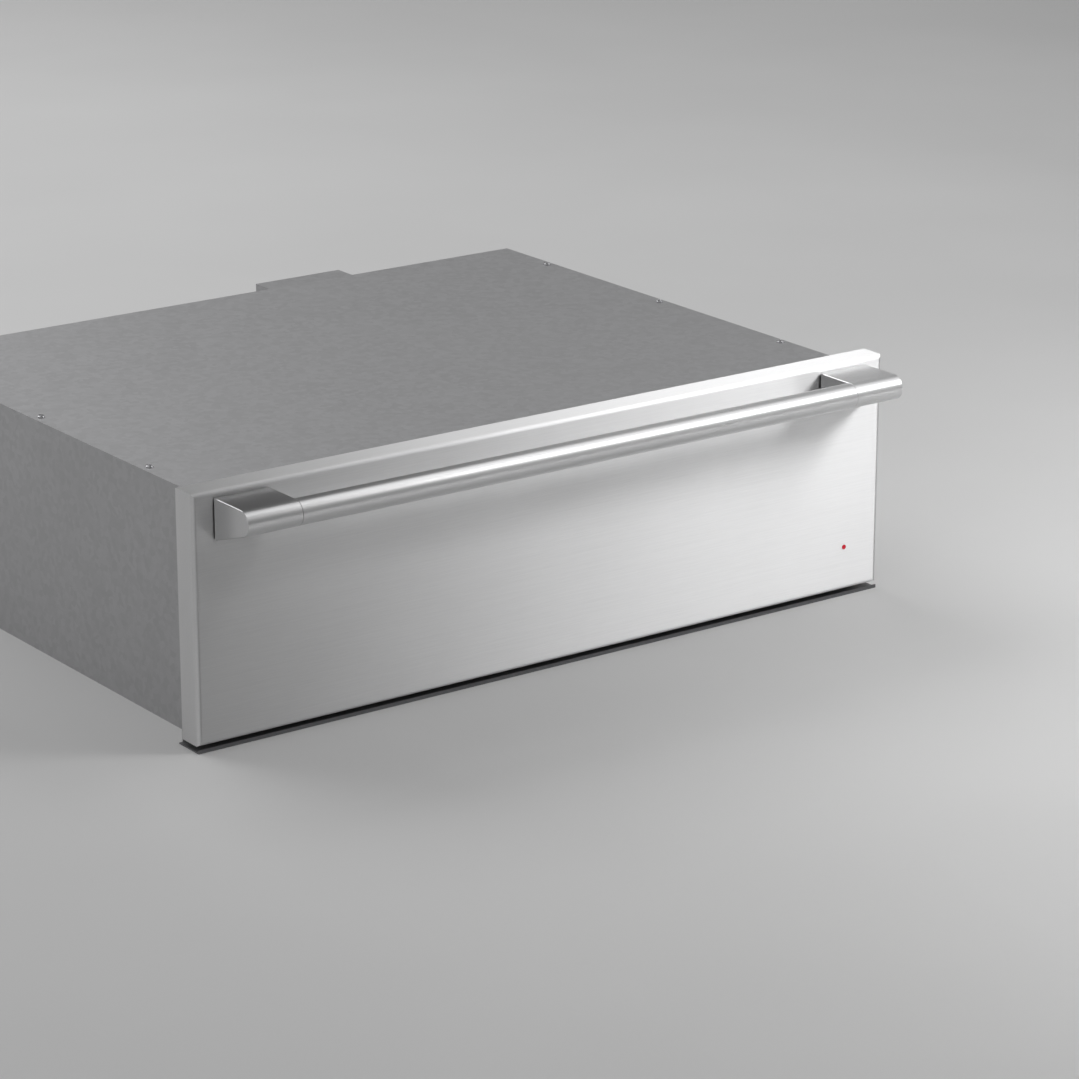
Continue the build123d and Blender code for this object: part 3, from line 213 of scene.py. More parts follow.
def brushed(name, base, rough, amount, along=(1, 0, 0), line=0.5 * MM, depth=0.004 * MM):
    """Sheet brushed along an axis: fine lines in colour, roughness and relief, and faint clouds."""
    made = Shader(name, Metallic=1.0)
    stretch = tuple(BRUSH_STRETCH if axis else 1.0 for axis in along)
    fine = made.noise(1 / line, detail=3.0, rough=0.6, stretch=stretch)
    broad = made.noise(0.2 / line, detail=2.0, rough=0.5, stretch=stretch)
    cloud = made.noise(9.0, detail=3.0, rough=0.55)
    lines = made.math("ADD", made.spread(fine, 0.0, 0.6), made.spread(broad, 0.0, 0.4))
    pale, dark = grey(base * 1.035, 0.004), grey(base * 0.95, 0.004)
    clouded = made.mixed(made.spread(cloud, 0.0, 0.35), grey(1.0), grey(0.93))
    made.colour(made.mixed(1.0, made.mixed(lines, dark, pale), clouded, "MULTIPLY"))
    streaks = made.spread(lines, rough * 1.06, rough * 0.94, 0.0, 1.0)
    made.rough(made.math("ADD", streaks, made.spread(cloud, -0.012, 0.012)))
    made.bump(fine, depth)
    made.grain(along, amount)
    return made.material


def galvanised(name, base):
    """Zinc-coated sheet: faint angular crystals some millimetres wide, dull patches, rolling."""
    made = Shader(name, Metallic=1.0)
    warp = made.node("ShaderNodeTexNoise", {"Vector": made.place, "Scale": 130.0, "Detail": 2.0})
    bent = made.mixed(SPANGLE_WARP, made.place, warp.outputs["Color"])
    cells = made.node("ShaderNodeTexVoronoi", {"Vector": bent, "Scale": SPANGLE_SCALE})
    shade = made.node("ShaderNodeSeparateColor", {"Color": cells.outputs["Color"]}).outputs[0]
    patch = made.noise(5.0, detail=5.0, rough=0.6)
    rolled = made.noise(420.0, detail=3.0, rough=0.6, stretch=(1.0, 0.05, 1.0))
    flake = made.mixed(shade, grey(base * 0.93, 0.008), grey(base * 1.05, 0.010))
    dulled = made.mixed(made.spread(patch, 0.0, 0.35), flake, grey(base * 0.92, 0.006))
    made.colour(made.mixed(made.spread(rolled, 0.0, 0.10), dulled, grey(base * 0.75, 0.004)))
    tones = made.spread(shade, 0.56, 0.58, 0.0, 1.0)
    made.rough(made.math("ADD", tones, made.spread(patch, -0.012, 0.018)))
    made.bump(shade, 0.0008 * MM)
    made.bump(rolled, 0.0008 * MM)
    return made.material


def painted(name, base, rough, speckle=None, coat=0.0, peel=0.010 * MM):
    """Paint, enamel or moulded plastic: fine orange peel, faint clouds and, if asked, speckles."""
    made = Shader(name, Metallic=0.0, Coat_Weight=coat, Coat_Roughness=0.12)
    cloud = made.noise(14.0, detail=4.0, rough=0.6)
    colour = made.mixed(made.spread(cloud, 0.0, 1.0), times(base, 0.88), times(base, 1.10))
    if speckle:
        dots = made.cells(SPECKLE_SCALE, "Distance")
        seed = made.cells(SPECKLE_SCALE)
        seeds = made.node("ShaderNodeSeparateColor", {"Color": seed}).outputs[0]
        near = made.spread(dots, 1.0, 0.0, 0.10, 0.28)
        some = made.spread(seeds, 0.0, 1.0, 0.72, 0.76)
        colour = made.mixed(made.math("MULTIPLY", near, some), colour, speckle + (1.0,))
    made.colour(colour)
    made.rough(made.spread(made.noise(60.0, detail=3.0), rough * 0.88, rough * 1.12))
    made.bump(made.noise(650.0), peel)
    return made.material


def rubber(name, base, rough=0.62):
    """Matt rubber with a dusty bloom and a fine pebble."""
    made = Shader(name, Metallic=0.0, Specular_IOR_Level=0.35)
    bloom = made.noise(22.0, detail=5.0, rough=0.65)
    pale = tuple(value * 1.25 + 0.012 for value in base) + (1.0,)
    made.colour(made.mixed(made.spread(bloom, 0.0, 1.0), times(base, 0.85), pale))
    made.rough(made.spread(bloom, rough * 0.9, rough * 1.1))
    made.bump(made.cells(1400.0, "Distance"), 0.015 * MM)
    return made.material


def wool(name):
    """Pressed mineral wool: long fibres over soft clumps."""
    made = Shader(name, Metallic=0.0, Roughness=0.95, Specular_IOR_Level=0.15, Sheen_Weight=0.25)
    fibre = made.noise(1100.0, detail=4.0, rough=0.7, stretch=(0.12, 0.5, 1.0))
    clump = made.noise(60.0, detail=5.0, rough=0.6)
    pale, warm = tone(0.72, 0.66, 0.47), tone(0.55, 0.47, 0.27)
    base = made.mixed(made.spread(clump, 0.0, 1.0), warm, pale)
    made.colour(made.mixed(made.spread(fibre, 0.0, 0.5), base, tone(0.80, 0.76, 0.60)))
    made.bump(clump, 0.9 * MM)
    made.bump(fibre, 0.25 * MM)
    return made.material


def plain_metal(name, base, rough, along=None, amount=0.3, tint=0.004):
    """Drawn, turned or plated metal with fine scratches."""
    made = Shader(name, Metallic=1.0)
    stretch = tuple(DRAWN_STRETCH if axis else 1.0 for axis in along or (0, 0, 0))
    scratch = made.noise(1600.0, detail=3.0, rough=0.6, stretch=stretch)
    stain = made.noise(45.0, detail=4.0, rough=0.6)
    pale, dark = grey(base * 1.05, tint), grey(base * 0.88, tint)
    made.colour(made.mixed(made.spread(stain, 0.0, 1.0), dark, pale))
    lines = made.spread(scratch, rough * 0.85, rough * 1.15)
    made.rough(made.math("ADD", lines, made.spread(stain, -0.03, 0.03)))
    made.bump(scratch, 0.004 * MM)
    if along:
        made.grain(along, amount)
    return made.material


def glowing(name, base, glow, strength, transmission=0.0):
    """Clear coloured plastic that a lamp lights from behind."""
    made = Shader(
        name,
        Roughness=0.16,
        IOR=1.49,
        Transmission_Weight=transmission,
        Emission_Color=glow + (1.0,),
        Emission_Strength=strength,
    )
    swirl = made.noise(500.0)
    made.colour(made.mixed(made.spread(swirl, 0.0, 1.0), times(base, 0.75), times(base, 1.0)))
    made.rough(made.spread(swirl, 0.12, 0.22))
    made.bump(swirl, 0.004 * MM)
    return made.material


def circuit(name):
    """Green solder mask with pale tracks under it."""
    made = Shader(name, Metallic=0.0, Coat_Weight=0.3, Coat_Roughness=0.2)
    tracks = made.node(
        "ShaderNodeTexBrick",
        {
            "Vector": made.stretched((1, 1, 1)),
            "Color1": grey(0.0),
            "Color2": grey(0.25),
            "Mortar": grey(1.0),
            "Scale": 90.0,
            "Mortar Size": 0.05,
        },
    ).outputs["Color"]
    made.colour(made.mixed(tracks, tone(0.02, 0.14, 0.07), tone(0.07, 0.30, 0.15)))
    made.rough(made.spread(made.noise(300.0), 0.28, 0.42))
    made.bump(tracks, 0.02 * MM)
    return made.material


def oxidised(name):
    """Heater sheath: dark oxide with brown and blue patches."""
    made = Shader(name, Metallic=0.75)
    patch = made.noise(35.0, detail=5.0, rough=0.65)
    fine = made.noise(700.0, detail=3.0)
    dark, brown = tone(0.10, 0.095, 0.10), tone(0.20, 0.15, 0.11)
    base = made.mixed(made.spread(patch, 0.0, 1.0), dark, brown)
    made.colour(made.mixed(made.spread(fine, 0.0, 0.3), base, tone(0.05, 0.05, 0.07)))
    made.rough(made.spread(patch, 0.42, 0.60))
    made.bump(fine, 0.015 * MM)
    return made.material


# ---------------------------------------------------------------- materials

STEEL_FRONT = brushed("steel_front", 0.82, 0.42, 1.0, line=0.22 * MM, depth=0.0012 * MM)
STEEL_HANDLE = brushed("steel_handle", 0.64, 0.29, 0.35, line=0.2 * MM, depth=0.0006 * MM)
STEEL_SATIN = brushed("steel_satin", 0.56, 0.36, 0.60)
STEEL_SATIN_UPRIGHT = brushed("steel_satin_upright", 0.56, 0.36, 0.60, along=(0, 0, 1))
STEEL_PAN = brushed("steel_pan", 0.58, 0.38, 0.55, along=(0, 1, 0))
ZINC_SHEET = galvanised("zinc_sheet", 0.53)
ZINC_BOX = galvanised("zinc_box", 0.51)
ZINC_SLIDE = plain_metal("zinc_slide", 0.66, 0.24, along=(0, 1, 0), amount=0.5, tint=0.02)
ZINC_SCREW = plain_metal("zinc_screw", 0.60, 0.28, tint=0.015)
CLIP_STEEL = plain_metal("clip_steel", 0.50, 0.34)
SHIELD_STEEL = plain_metal("shield_steel", 0.52, 0.36, along=(0, 1, 0))
PROBE_STEEL = plain_metal("probe_steel", 0.66, 0.18)
TRIM_PAINT = painted("trim_paint", (0.13, 0.13, 0.135), 0.40)
ENAMEL = painted("liner_enamel", (0.15, 0.16, 0.18), 0.30, speckle=(0.55, 0.57, 0.60), coat=0.6)
FASCIA = painted("fascia_gloss", (0.035, 0.035, 0.040), 0.14, coat=0.5, peel=0.002 * MM)
BUTTON = painted("button_soft", (0.20, 0.20, 0.21), 0.55)
MARK = painted("button_mark", (0.78, 0.78, 0.76), 0.45)
PHENOLIC = painted("phenolic", (0.08, 0.07, 0.07), 0.38)
NYLON = painted("nylon_black", (0.045, 0.045, 0.047), 0.42)
CONDUIT = painted("conduit_grey", (0.30, 0.30, 0.32), 0.48)
PAD_RUBBER = rubber("pad_rubber", (0.030, 0.030, 0.031))
GASKET_RUBBER = rubber("gasket_rubber", (0.050, 0.050, 0.052))
MAT_RUBBER = rubber("mat_rubber", (0.12, 0.12, 0.13), 0.70)
WOOL = wool("mineral_wool")
SHEATH = oxidised("heater_sheath")
BOARD = circuit("circuit_board")
LAMP_RED = glowing("lamp_red", (0.85, 0.10, 0.08), (1.0, 0.08, 0.05), 0.6, 0.3)
PIPE_RED = glowing("pipe_red", (0.55, 0.010, 0.035), (0.75, 0.0, 0.03), 0.25, 0.4)

DRESS = (
    (ZINC_SHEET, "base_pan side_panel_left side_panel_right back_panel top_cover"),
    (STEEL_SATIN_UPRIGHT, "frame_stile_left frame_stile_right"),
    (STEEL_SATIN, "frame_top_rail frame_bottom_rail front_lining"),
    (TRIM_PAINT, "lower_trim"),
    (ENAMEL, "liner_floor liner_top liner_back liner_side_left liner_side_right"),
    (SHEATH, "heating_element"),
    (CLIP_STEEL, "element_clips"),
    (SHIELD_STEEL, "element_shield"),
    (PROBE_STEEL, "temperature_sensor"),
    (PHENOLIC, "limit_thermostat"),
    (FASCIA, "control_fascia"),
    (BUTTON, "button_power button_lower button_raise button_timer"),
    (ZINC_BOX, "control_box terminal_box"),
    (BOARD, "control_board"),
    (PIPE_RED, "light_pipe"),
    (LAMP_RED, "indicator_lamp"),
    (NYLON, "cable_gland"),
    (CONDUIT, "wiring_conduit"),
    (ZINC_SLIDE, "slide_outer_left slide_outer_right slide_middle_left slide_middle_right"),
    (ZINC_SLIDE, "slide_inner_left slide_inner_right"),
    (ZINC_SLIDE, "ball_cage_outer_left ball_cage_outer_right"),
    (ZINC_SLIDE, "ball_cage_inner_left ball_cage_inner_right"),
    (STEEL_FRONT, "front_skin"),
    (STEEL_HANDLE, "handle_block_left handle_block_right handle_bar"),
    (PAD_RUBBER, "handle_pad_left handle_pad_right"),
    (ZINC_SCREW, "handle_bolts"),
    (STEEL_PAN, "drawer_pan"),
)
for material, dressed in DRESS:
    for node in dressed.split():
        for material_slot in NODES[node].material_slots:
            material_slot.material = material


# ---------------------------------------------------------------- mesh helpers

def piece(name, mesh, material, body, replaced=(), smooth=True):
    """Puts a finished bmesh or mesh in the scene, on a body."""
    if isinstance(mesh, bmesh.types.BMesh):
        data = bpy.data.meshes.new(name)
        mesh.to_mesh(data)
        mesh.free()
    else:
        data = mesh
    data.materials.clear()
    data.materials.append(material)
    made = bpy.data.objects.new(name, data)
    bpy.context.collection.objects.link(made)
    if smooth:
        data.shade_smooth()
    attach(made, body)
    if replaced:
        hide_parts(*replaced)


def evaluated(made):
    """The mesh of an object once its modifiers are applied."""
    graph = bpy.context.evaluated_depsgraph_get()
    return bpy.data.meshes.new_from_object(made.evaluated_get(graph))


# ---------------------------------------------------------------- insulation slabs

WOOL_VOXEL = 4.0 * MM
WOOL_DENT = 0.9 * MM
WOOL_CLUMP = 38.0
WOOL_FINE = 2.7
WOOL_SOFTEN = (0.5, 3)


def wool_slab(name, node):
    """A pressed slab with soft edges and an uneven skin, inside the space of its CAD solid."""
    raw = bpy.data.objects.new(name + "_raw", NODES[node].data.copy())
    bpy.context.collection.objects.link(raw)
    remesh = raw.modifiers.new("voxels", "REMESH")
    remesh.mode = "VOXEL"
    remesh.voxel_size = WOOL_VOXEL
    soften = raw.modifiers.new("soften", "SMOOTH")
    soften.factor, soften.iterations = WOOL_SOFTEN
    data = evaluated(raw)
    bpy.data.objects.remove(raw)
    low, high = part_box(node)
    moved = []
    for vertex in data.vertices:
        point = vertex.co * WOOL_CLUMP
        dent = noise.noise(point) + 0.5 * noise.noise(point * WOOL_FINE)
        inward = vertex.co - vertex.normal * WOOL_DENT * (0.75 + 0.5 * dent)
        moved += [min(max(c, a), b) for c, a, b in zip(inward, low, high)]
    data.vertices.foreach_set("co", moved)
    data.update()
    piece(name, data, WOOL, BODY_OF[node], (node,))


for name, node in (
    ("wool_left", "insulation_left"),
    ("wool_right", "insulation_right"),
    ("wool_top", "insulation_top"),
    ("wool_back", "insulation_back"),
    ("wool_front", "front_insulation"),
):
    wool_slab(name, node)

# ---------------------------------------------------------------- pan mat

MAT_CORNER = 14.0 * MM
MAT_WEB = 1.3 * MM
MAT_RIB_PITCH = 9.0 * MM
MAT_RIB = 4.4 * MM
MAT_BORDER = 7.0 * MM
MAT_CORNER_STEPS = 8
MAT_RIB_STEPS = 8
MAT_RIB_SINK = 0.2 * MM
# The border's rounded outer edge and its slope down to the web, as inset and height.
MAT_EDGE_FOOT = 0.6 * MM
MAT_EDGE_BEND = (0.3 * MM, 0.15 * MM)
MAT_EDGE_TOP = 1.0 * MM
MAT_SLOPE_TOP = 1.6 * MM
MAT_SLOPE_BEND = (0.4 * MM, 0.3 * MM)
# A rib's rounded end: how far out, and how large it still is.
MAT_RIB_END = ((1.0, 0.0), (0.7, 0.7), (0.0, 1.0))
SAME_POINT = 1e-6


def rounded_outline(low, high, corner, steps):
    """Points round a rectangle with rounded corners, anticlockwise from above."""
    points = []
    for cx, cy, start in (
        (high[0] - corner, low[1] + corner, -90),
        (high[0] - corner, high[1] - corner, 0),
        (low[0] + corner, high[1] - corner, 90),
        (low[0] + corner, low[1] + corner, 180),
    ):
        for i in range(steps + 1):
            angle = math.radians(start + 90 * i / steps)
            points.append((cx + corner * math.cos(angle), cy + corner * math.sin(angle)))
    return points


def ribbed_mat():
    """A silicone mat: a thin web, a raised border and low round ribs from side to side."""
    low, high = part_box("pan_mat")
    top = high.z
    web = low.z + MAT_WEB
    mat = bmesh.new()
    rings = []
    for inset, z in (
        (0.0, low.z),
        (0.0, top - MAT_EDGE_FOOT),
        (MAT_EDGE_BEND[0], top - MAT_EDGE_BEND[1]),
        (MAT_EDGE_TOP, top),
        (MAT_BORDER - MAT_SLOPE_TOP, top),
        (MAT_BORDER - MAT_SLOPE_BEND[0], web + MAT_SLOPE_BEND[1]),
        (MAT_BORDER, web),
    ):
        a = (low.x + inset, low.y + inset)
        b = (high.x - inset, high.y - inset)
        outline = rounded_outline(a, b, MAT_CORNER - inset, MAT_CORNER_STEPS)
        rings.append([mat.verts.new((x, y, z)) for x, y in outline])
    for lower, upper in zip(rings, rings[1:]):
        for i in range(len(lower)):
            j = (i + 1) % len(lower)
            mat.faces.new((lower[i], lower[j], upper[j], upper[i]))
    mat.faces.new(rings[-1])
    mat.faces.new(list(reversed(rings[0])))
    first = low.y + MAT_BORDER + MAT_RIB_PITCH
    count = int((high.y - MAT_BORDER - MAT_RIB_PITCH - first) / MAT_RIB_PITCH) + 1
    reach = (high.x - low.x) / 2 - MAT_BORDER - MAT_RIB
    middle = (high.x + low.x) / 2
    for row in range(count):
        y = first + row * MAT_RIB_PITCH
        sections = []
        for side, end in ((-1, MAT_RIB_END), (1, MAT_RIB_END[::-1])):
            for out, size in end:
                x = middle + side * (reach + out * MAT_RIB / 2)
                ring = []
                for i in range(MAT_RIB_STEPS + 1):
                    angle = math.pi * i / MAT_RIB_STEPS
                    across = size * MAT_RIB / 2 * math.cos(angle)
                    up = (top - web + MAT_RIB_SINK) * size * math.sin(angle)
                    ring.append(mat.verts.new((x, y + across, web - MAT_RIB_SINK + up)))
                sections.append(ring)
        for a, b in zip(sections, sections[1:]):
            for i in range(MAT_RIB_STEPS + 1):
                j = (i + 1) % len(a)
                mat.faces.new((a[i], a[j], b[j], b[i]))
    bmesh.ops.remove_doubles(mat, verts=mat.verts, dist=SAME_POINT)
    bmesh.ops.recalc_face_normals(mat, faces=mat.faces)
    piece("mat_ribbed", mat, MAT_RUBBER, "drawer", ("pan_mat",))


ribbed_mat()

# ---------------------------------------------------------------- gasket

GASKET_WIDTH = 8.0 * MM
GASKET_CORNER = 12.0 * MM
GASKET_STEPS = 8
GASKET_LEAST_CORNER = 1.0 * MM
GASKET_BASE = 1.6 * MM
# The bulb starts inside the foot, is drawn in at its neck, and turns nearly all the way round.
BULB_IN_BASE = 0.6
BULB_NECK = 0.8
BULB_START = 217
BULB_SWEEP = 254
BULB_STEPS = 12


def bulb_gasket():
    """A bulb seal: a flat foot on the lining and a round bulb towards the frame."""
    low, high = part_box("front_gasket")
    depth = high.y - low.y
    bulb = (depth - GASKET_BASE * BULB_IN_BASE) / 2
    centre = (GASKET_WIDTH / 2, depth - bulb)
    neck = bulb * BULB_NECK
    profile = [(0.0, 0.0), (0.0, GASKET_BASE), (GASKET_WIDTH / 2 - neck, GASKET_BASE)]
    for i in range(BULB_STEPS + 1):
        angle = math.radians(BULB_START - i * BULB_SWEEP / BULB_STEPS)
        profile.append((centre[0] + bulb * math.cos(angle), centre[1] + bulb * math.sin(angle)))
    profile += [
        (GASKET_WIDTH / 2 + neck, GASKET_BASE),
        (GASKET_WIDTH, GASKET_BASE),
        (GASKET_WIDTH, 0.0),
    ]
    seal = bmesh.new()
    rings = []
    for inset, up in profile:
        inset = min(max(inset, 0.0), GASKET_WIDTH)
        corner = max(GASKET_CORNER - inset, GASKET_LEAST_CORNER)
        a = (low.x + inset, low.z + inset)
        b = (high.x - inset, high.z - inset)
        outline = rounded_outline(a, b, corner, GASKET_STEPS)
        rings.append([seal.verts.new((x, low.y + up, z)) for x, z in outline])
    rings.append(rings[0])
    for a, b in zip(rings, rings[1:]):
        for i in range(len(a)):
            j = (i + 1) % len(a)
            seal.faces.new((a[i], a[j], b[j], b[i]))
    bmesh.ops.recalc_face_normals(seal, faces=seal.faces)
    piece("gasket_bulb", seal, GASKET_RUBBER, "drawer", ("front_gasket",))


bulb_gasket()

# ---------------------------------------------------------------- screws

HEAD_RADIUS = 3.5 * MM
HEAD_HEIGHT = 2.0 * MM
# The head's rounded side, in parts of its radius and height.
HEAD_SECTION = ((1.0, 0.55), (0.95, 0.75), (0.82, 0.92), (0.60, 1.0))
SHANK_RADIUS = 1.9 * MM
SHANK_POINT = 0.3 * MM
SHANK_PLAIN = 0.4 * MM
THREAD_END = 0.9 * MM
THREAD_DEPTH = 0.3 * MM
THREAD_PITCH = 0.9 * MM
# The recess's foot is these parts of its mouth, which stands above the head.
RECESS_ARM = 2.2 * MM
RECESS_WIDTH = 0.55 * MM
RECESS_DEPTH = 1.3 * MM
RECESS_MOUTH = 0.4 * MM
RECESS_TAPER = (0.35, 0.7)
TURN_STEPS = 28
SCREW_SPIN = 37
SAME_PLACE = 5
SAME_LEVEL = 1e-5


def circle(mesh, radius, z, steps):
    """New points round Z."""
    turns = [2 * math.pi * i / steps for i in range(steps)]
    return [mesh.verts.new((radius * math.cos(t), radius * math.sin(t), z)) for t in turns]


def lathe(profile, steps):
    """A solid turned round Z from (radius, height) points, first and last on the axis."""
    body = bmesh.new()
    rings = []
    for radius, z in profile:
        rings.append(circle(body, radius, z, steps) if radius else [body.verts.new((0, 0, z))])
    for a, b in zip(rings, rings[1:]):
        for i in range(steps):
            j = (i + 1) % steps
            corners = [a[i % len(a)], a[j % len(a)], b[j % len(b)], b[i % len(b)]]
            body.faces.new(list(dict.fromkeys(corners)))
    bmesh.ops.recalc_face_normals(body, faces=body.faces)
    return body


def middle_of(points):
    """The mean of some points, rounded so that it sorts the same each run."""
    return tuple(round(value, SAME_PLACE) for value in sum(points, Vector()) / len(points))


def islands(mesh):
    """The separate shells of a mesh, as lists of points."""
    links = bmesh.new()
    links.from_mesh(mesh)
    bmesh.ops.remove_doubles(links, verts=links.verts, dist=SAME_POINT)
    left, found = set(links.verts), []
    while left:
        queue, shell = [left.pop()], []
        while queue:
            vertex = queue.pop()
            shell.append(vertex.co.copy())
            for edge in vertex.link_edges:
                other = edge.other_vert(vertex)
                if other in left:
                    left.remove(other)
                    queue.append(other)
        found.append(shell)
    links.free()
    found.sort(key=middle_of)
    return found


def seat_of(shell):
    """Where a plain CAD screw sits: its head's underside, the way its head faces, its shank."""
    low = Vector(min(point[i] for point in shell) for i in range(3))
    high = Vector(max(point[i] for point in shell) for i in range(3))
    size, middle = high - low, (low + high) / 2
    axis = max(range(3), key=lambda i: abs(size[i] - 2 * HEAD_RADIUS))
    reach = [
        max((point - middle).length for point in shell if abs(point[axis] - end) < SAME_LEVEL)
        for end in (low[axis], high[axis])
    ]
    facing = Vector((0, 0, 0))
    facing[axis] = 1.0 if reach[1] > reach[0] else -1.0
    end = high[axis] if facing[axis] > 0 else low[axis]
    seat = middle.copy()
    seat[axis] = end - facing[axis] * HEAD_HEIGHT
    return seat, facing, size[axis] - HEAD_HEIGHT


def cross_head(length):
    """A pan-head screw with a cross recess and a ribbed shank, its head's underside at zero."""
    profile = [(0.0, -length), (SHANK_RADIUS - 2 * THREAD_DEPTH, -length)]
    z = -length + SHANK_POINT
    while z < -THREAD_END:
        profile.append((SHANK_RADIUS, z))
        profile.append((SHANK_RADIUS - THREAD_DEPTH, z + THREAD_PITCH / 2))
        z += THREAD_PITCH
    profile += [(SHANK_RADIUS, -SHANK_PLAIN), (SHANK_RADIUS, 0.0), (HEAD_RADIUS, 0.0)]
    profile += [(HEAD_RADIUS * out, HEAD_HEIGHT * up) for out, up in HEAD_SECTION]
    profile.append((0.0, HEAD_HEIGHT))
    turned = lathe(profile, TURN_STEPS)
    data = bpy.data.meshes.new("screw_turned")
    turned.to_mesh(data)
    turned.free()
    cross = bmesh.new()
    for turn in (0.0, math.pi / 2):
        bottom, top = [], []
        spin = Matrix.Rotation(turn, 3, "Z")
        for sx, sy in ((-1, -1), (1, -1), (1, 1), (-1, 1)):
            arm, width = sx * RECESS_ARM, sy * RECESS_WIDTH
            deep = spin @ Vector((arm * RECESS_TAPER[0], width * RECESS_TAPER[1], 0))
            wide = spin @ Vector((arm, width, 0))
            bottom.append(cross.verts.new((deep.x, deep.y, HEAD_HEIGHT - RECESS_DEPTH)))
            top.append(cross.verts.new((wide.x, wide.y, HEAD_HEIGHT + RECESS_MOUTH)))
        cross.faces.new(list(reversed(bottom)))
        cross.faces.new(top)
        for i in range(4):
            j = (i + 1) % 4
            cross.faces.new((bottom[i], bottom[j], top[j], top[i]))
    cross_data = bpy.data.meshes.new("recess")
    cross.to_mesh(cross_data)
    cross.free()
    body = bpy.data.objects.new("screw_turned", data)
    cutter = bpy.data.objects.new("recess", cross_data)
    for made in (body, cutter):
        bpy.context.collection.objects.link(made)
    cut = body.modifiers.new("recess", "BOOLEAN")
    cut.operation = "DIFFERENCE"
    cut.solver = "EXACT"
    cut.use_self = True
    cut.object = cutter
    result = evaluated(body)
    bpy.data.objects.remove(body)
    bpy.data.objects.remove(cutter)
    return result


def screw_set(name, node):
    """Detailed screws in place of every plain one of a CAD node."""
    kinds = {}
    merged = bmesh.new()
    for number, shell in enumerate(islands(NODES[node].data)):
        seat, facing, length = seat_of(shell)
        key = round(length, SAME_PLACE)
        if key not in kinds:
            kinds[key] = cross_head(length)
        turn = facing.to_track_quat("Z", "Y").to_matrix().to_4x4()
        spin = Matrix.Rotation(math.radians(SCREW_SPIN * number), 4, "Z")
        one = kinds[key].copy()
        one.transform(Matrix.Translation(seat) @ turn @ spin)
        merged.from_mesh(one)
        bpy.data.meshes.remove(one)
    piece(name, merged, ZINC_SCREW, BODY_OF[node], (node,), smooth=False)


screw_set("screws_casing", "casing_screws")
screw_set("screws_pan", "pan_screws")

# ---------------------------------------------------------------- marks on the buttons

MARK_HEIGHT = 0.15 * MM
MARK_SINK = 0.30 * MM
MARK_SIZE = 4.4 * MM
MARK_LINE = 0.55 * MM


def arc_points(radius, start, end, steps):
    """Points along an arc, from one angle in degrees to another."""
    turns = [math.radians(start + (end - start) * i / steps) for i in range(steps + 1)]
    return [(radius * math.cos(turn), radius * math.sin(turn)) for turn in turns]


def stroke(mesh, points, face, centre):
    """A raised line along points on a button's face, as one closed bar for each run."""
    for (ax, az), (bx, bz) in zip(points, points[1:]):
        run = Vector((bx - ax, bz - az))
        side = Vector((-run.y, run.x)).normalized() * MARK_LINE / 2
        ends = run.normalized() * MARK_LINE / 4
        corners = [
            Vector((ax, az)) - side - ends,
            Vector((bx, bz)) - side + ends,
            Vector((bx, bz)) + side + ends,
            Vector((ax, az)) + side - ends,
        ]
        near, far = [], []
        for corner in corners:
            x, z = centre.x + corner.x, centre.z + corner.y
            near.append(mesh.verts.new((x, face - MARK_HEIGHT, z)))
            far.append(mesh.verts.new((x, face + MARK_SINK, z)))
        mesh.faces.new(near)
        mesh.faces.new(list(reversed(far)))
        for i in range(4):
            j = (i + 1) % 4
            mesh.faces.new((near[i], far[i], far[j], near[j]))


def button_mark(node, strokes):
    """A mark on a button, from one or more lines."""
    low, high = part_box(node)
    centre = (low + high) / 2
    mark = bmesh.new()
    for points in strokes:
        stroke(mark, points, low.y, centre)
    bmesh.ops.recalc_face_normals(mark, faces=mark.faces)
    piece(node.replace("button", "mark"), mark, MARK, BODY_OF[node], smooth=False)


HALF = MARK_SIZE / 2
BAR_ACROSS = [(-HALF, 0), (HALF, 0)]
BAR_UPRIGHT = [(0, -HALF), (0, HALF)]
POWER_RING = arc_points(HALF, 125, 415, 20)
POWER_STEM = [(0, HALF * 0.15), (0, HALF * 1.15)]
CLOCK_RING = arc_points(HALF, 0, 360, 24)
CLOCK_HANDS = [(0, HALF * 0.6), (0, 0), (HALF * 0.45, -HALF * 0.2)]

button_mark("button_power", [POWER_RING, POWER_STEM])
button_mark("button_lower", [BAR_ACROSS])
button_mark("button_raise", [BAR_ACROSS, BAR_UPRIGHT])
button_mark("button_timer", [CLOCK_RING, CLOCK_HANDS])

# ---------------------------------------------------------------- floor

FLOOR_RINGS = (2.0, 6.0, 15.0, 40.0)
FLOOR_STEPS = 96


def pale_floor():
    """A wide flat disc under the object."""
    ground = bmesh.new()
    centre = ground.verts.new((0, 0, 0))
    rings = [circle(ground, radius, 0, FLOOR_STEPS) for radius in FLOOR_RINGS]
    for i in range(FLOOR_STEPS):
        j = (i + 1) % FLOOR_STEPS
        ground.faces.new((centre, rings[0][i], rings[0][j]))
        for inner, outer in zip(rings, rings[1:]):
            ground.faces.new((inner[i], outer[i], outer[j], inner[j]))
    data = bpy.data.meshes.new("floor")
    ground.to_mesh(data)
    ground.free()
    made = bpy.data.objects.new("floor", data)
    bpy.context.collection.objects.link(made)
    look = Shader("floor_pale", Metallic=0.0, Roughness=0.75, Specular_IOR_Level=0.2)
    look.colour(look.mixed(look.spread(look.noise(1.5, 3.0), 0.0, 1.0), grey(0.69), grey(0.73)))
    data.materials.append(look.material)


pale_floor()

# ---------------------------------------------------------------- light

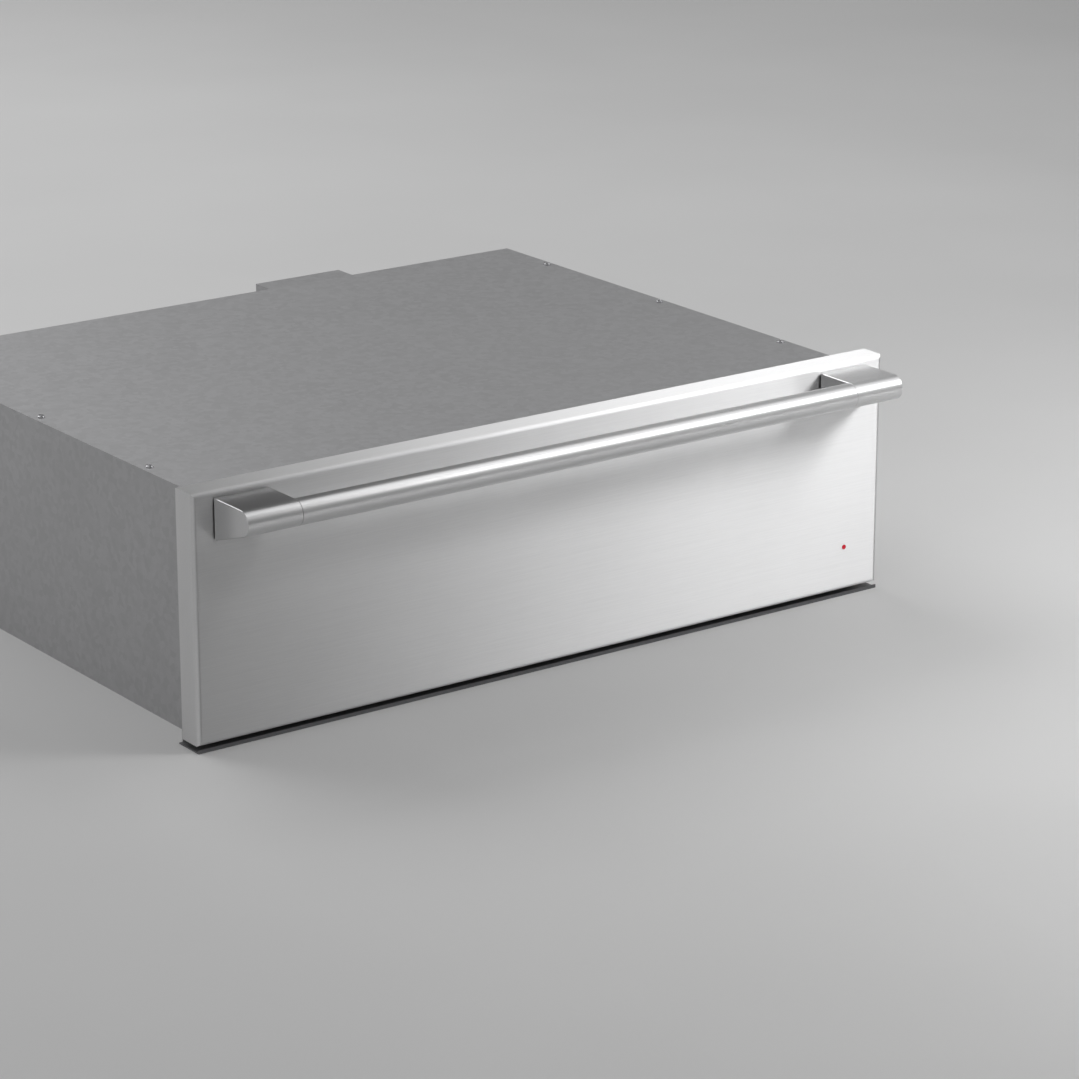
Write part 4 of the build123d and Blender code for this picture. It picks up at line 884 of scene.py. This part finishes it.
# Brightness of the surroundings, by how far to the right and how far back a direction points.
STUDIO_STOPS = (
    (-1.0, 0.56),
    (-0.3, 0.42),
    (0.0, 0.1),
    (0.3, 0.02),
    (0.51, 0.02),
    (0.555, 0.4),
    (0.595, 1.2),
    (0.65, 0.6),
    (0.8, 0.4),
    (1.0, 0.5),
)
DEPTH_STOPS = ((-1.0, 1.0), (-0.2, 1.0), (0.3, 0.7), (1.0, 0.7))
# Soft boxes: name, place, target, size, watts and spread in degrees.
LIGHTS = (
    ("light_key", (1.97, -0.65, 2.3), (1.97, -0.65, 0.0), (1.06, 1.5), 3.0, 180),
    ("light_key_front", (2.3, -2.0, 2.1), (0.3, -0.4, 0.1), (0.9, 1.2), 23.5, 180),
    ("light_overhead", (1.07, -0.6, 2.3), (1.07, -0.6, 0.0), (0.74, 1.6), 4.0, 180),
    ("light_pool", (0.95, -1.15, 2.2), (1.0, -1.2, 0.0), (0.4, 0.6), 4.6, 70),
    ("light_back", (-0.6, 2.6, 2.9), (-0.4, 1.6, 0.0), (3.0, 2.4), 60.0, 180),
)


def studio_world():
    """Soft surroundings: a bright band on the right, dim elsewhere, and dimmer behind."""
    world = bpy.data.worlds.new("studio")
    world.use_nodes = True
    bpy.context.scene.world = world
    tree = world.node_tree
    place = tree.nodes.new("ShaderNodeTexCoord")
    split = tree.nodes.new("ShaderNodeSeparateXYZ")
    product = tree.nodes.new("ShaderNodeMath")
    product.operation = "MULTIPLY"
    tree.links.new(place.outputs["Generated"], split.inputs[0])
    for number, (axis, table) in enumerate((("X", STUDIO_STOPS), ("Y", DEPTH_STOPS))):
        scale = tree.nodes.new("ShaderNodeMapRange")
        scale.inputs["From Min"].default_value = -1.0
        scale.inputs["From Max"].default_value = 1.0
        ramp = tree.nodes.new("ShaderNodeValToRGB")
        stops = ramp.color_ramp.elements
        while len(stops) < len(table):
            stops.new(0.5)
        for stop, (at, value) in zip(stops, table):
            stop.position = (at + 1) / 2
            stop.color = grey(value)
        tree.links.new(split.outputs[axis], scale.inputs["Value"])
        tree.links.new(scale.outputs["Result"], ramp.inputs["Fac"])
        tree.links.new(ramp.outputs["Color"], product.inputs[number])
    tree.links.new(product.outputs[0], tree.nodes["Background"].inputs["Color"])


def soft_light(name, place, target, size, power, spread):
    """A soft box; a spread below 180 degrees is a grid that keeps its light to a pool."""
    data = bpy.data.lights.new(name, "AREA")
    data.spread = math.radians(spread)
    data.shape = "RECTANGLE"
    data.size, data.size_y = size
    data.energy = power
    made = bpy.data.objects.new(name, data)
    made.location = place
    made.rotation_mode = "QUATERNION"
    made.rotation_quaternion = (Vector(target) - Vector(place)).to_track_quat("-Z", "Y")
    bpy.context.collection.objects.link(made)


studio_world()
for light in LIGHTS:
    soft_light(*light)
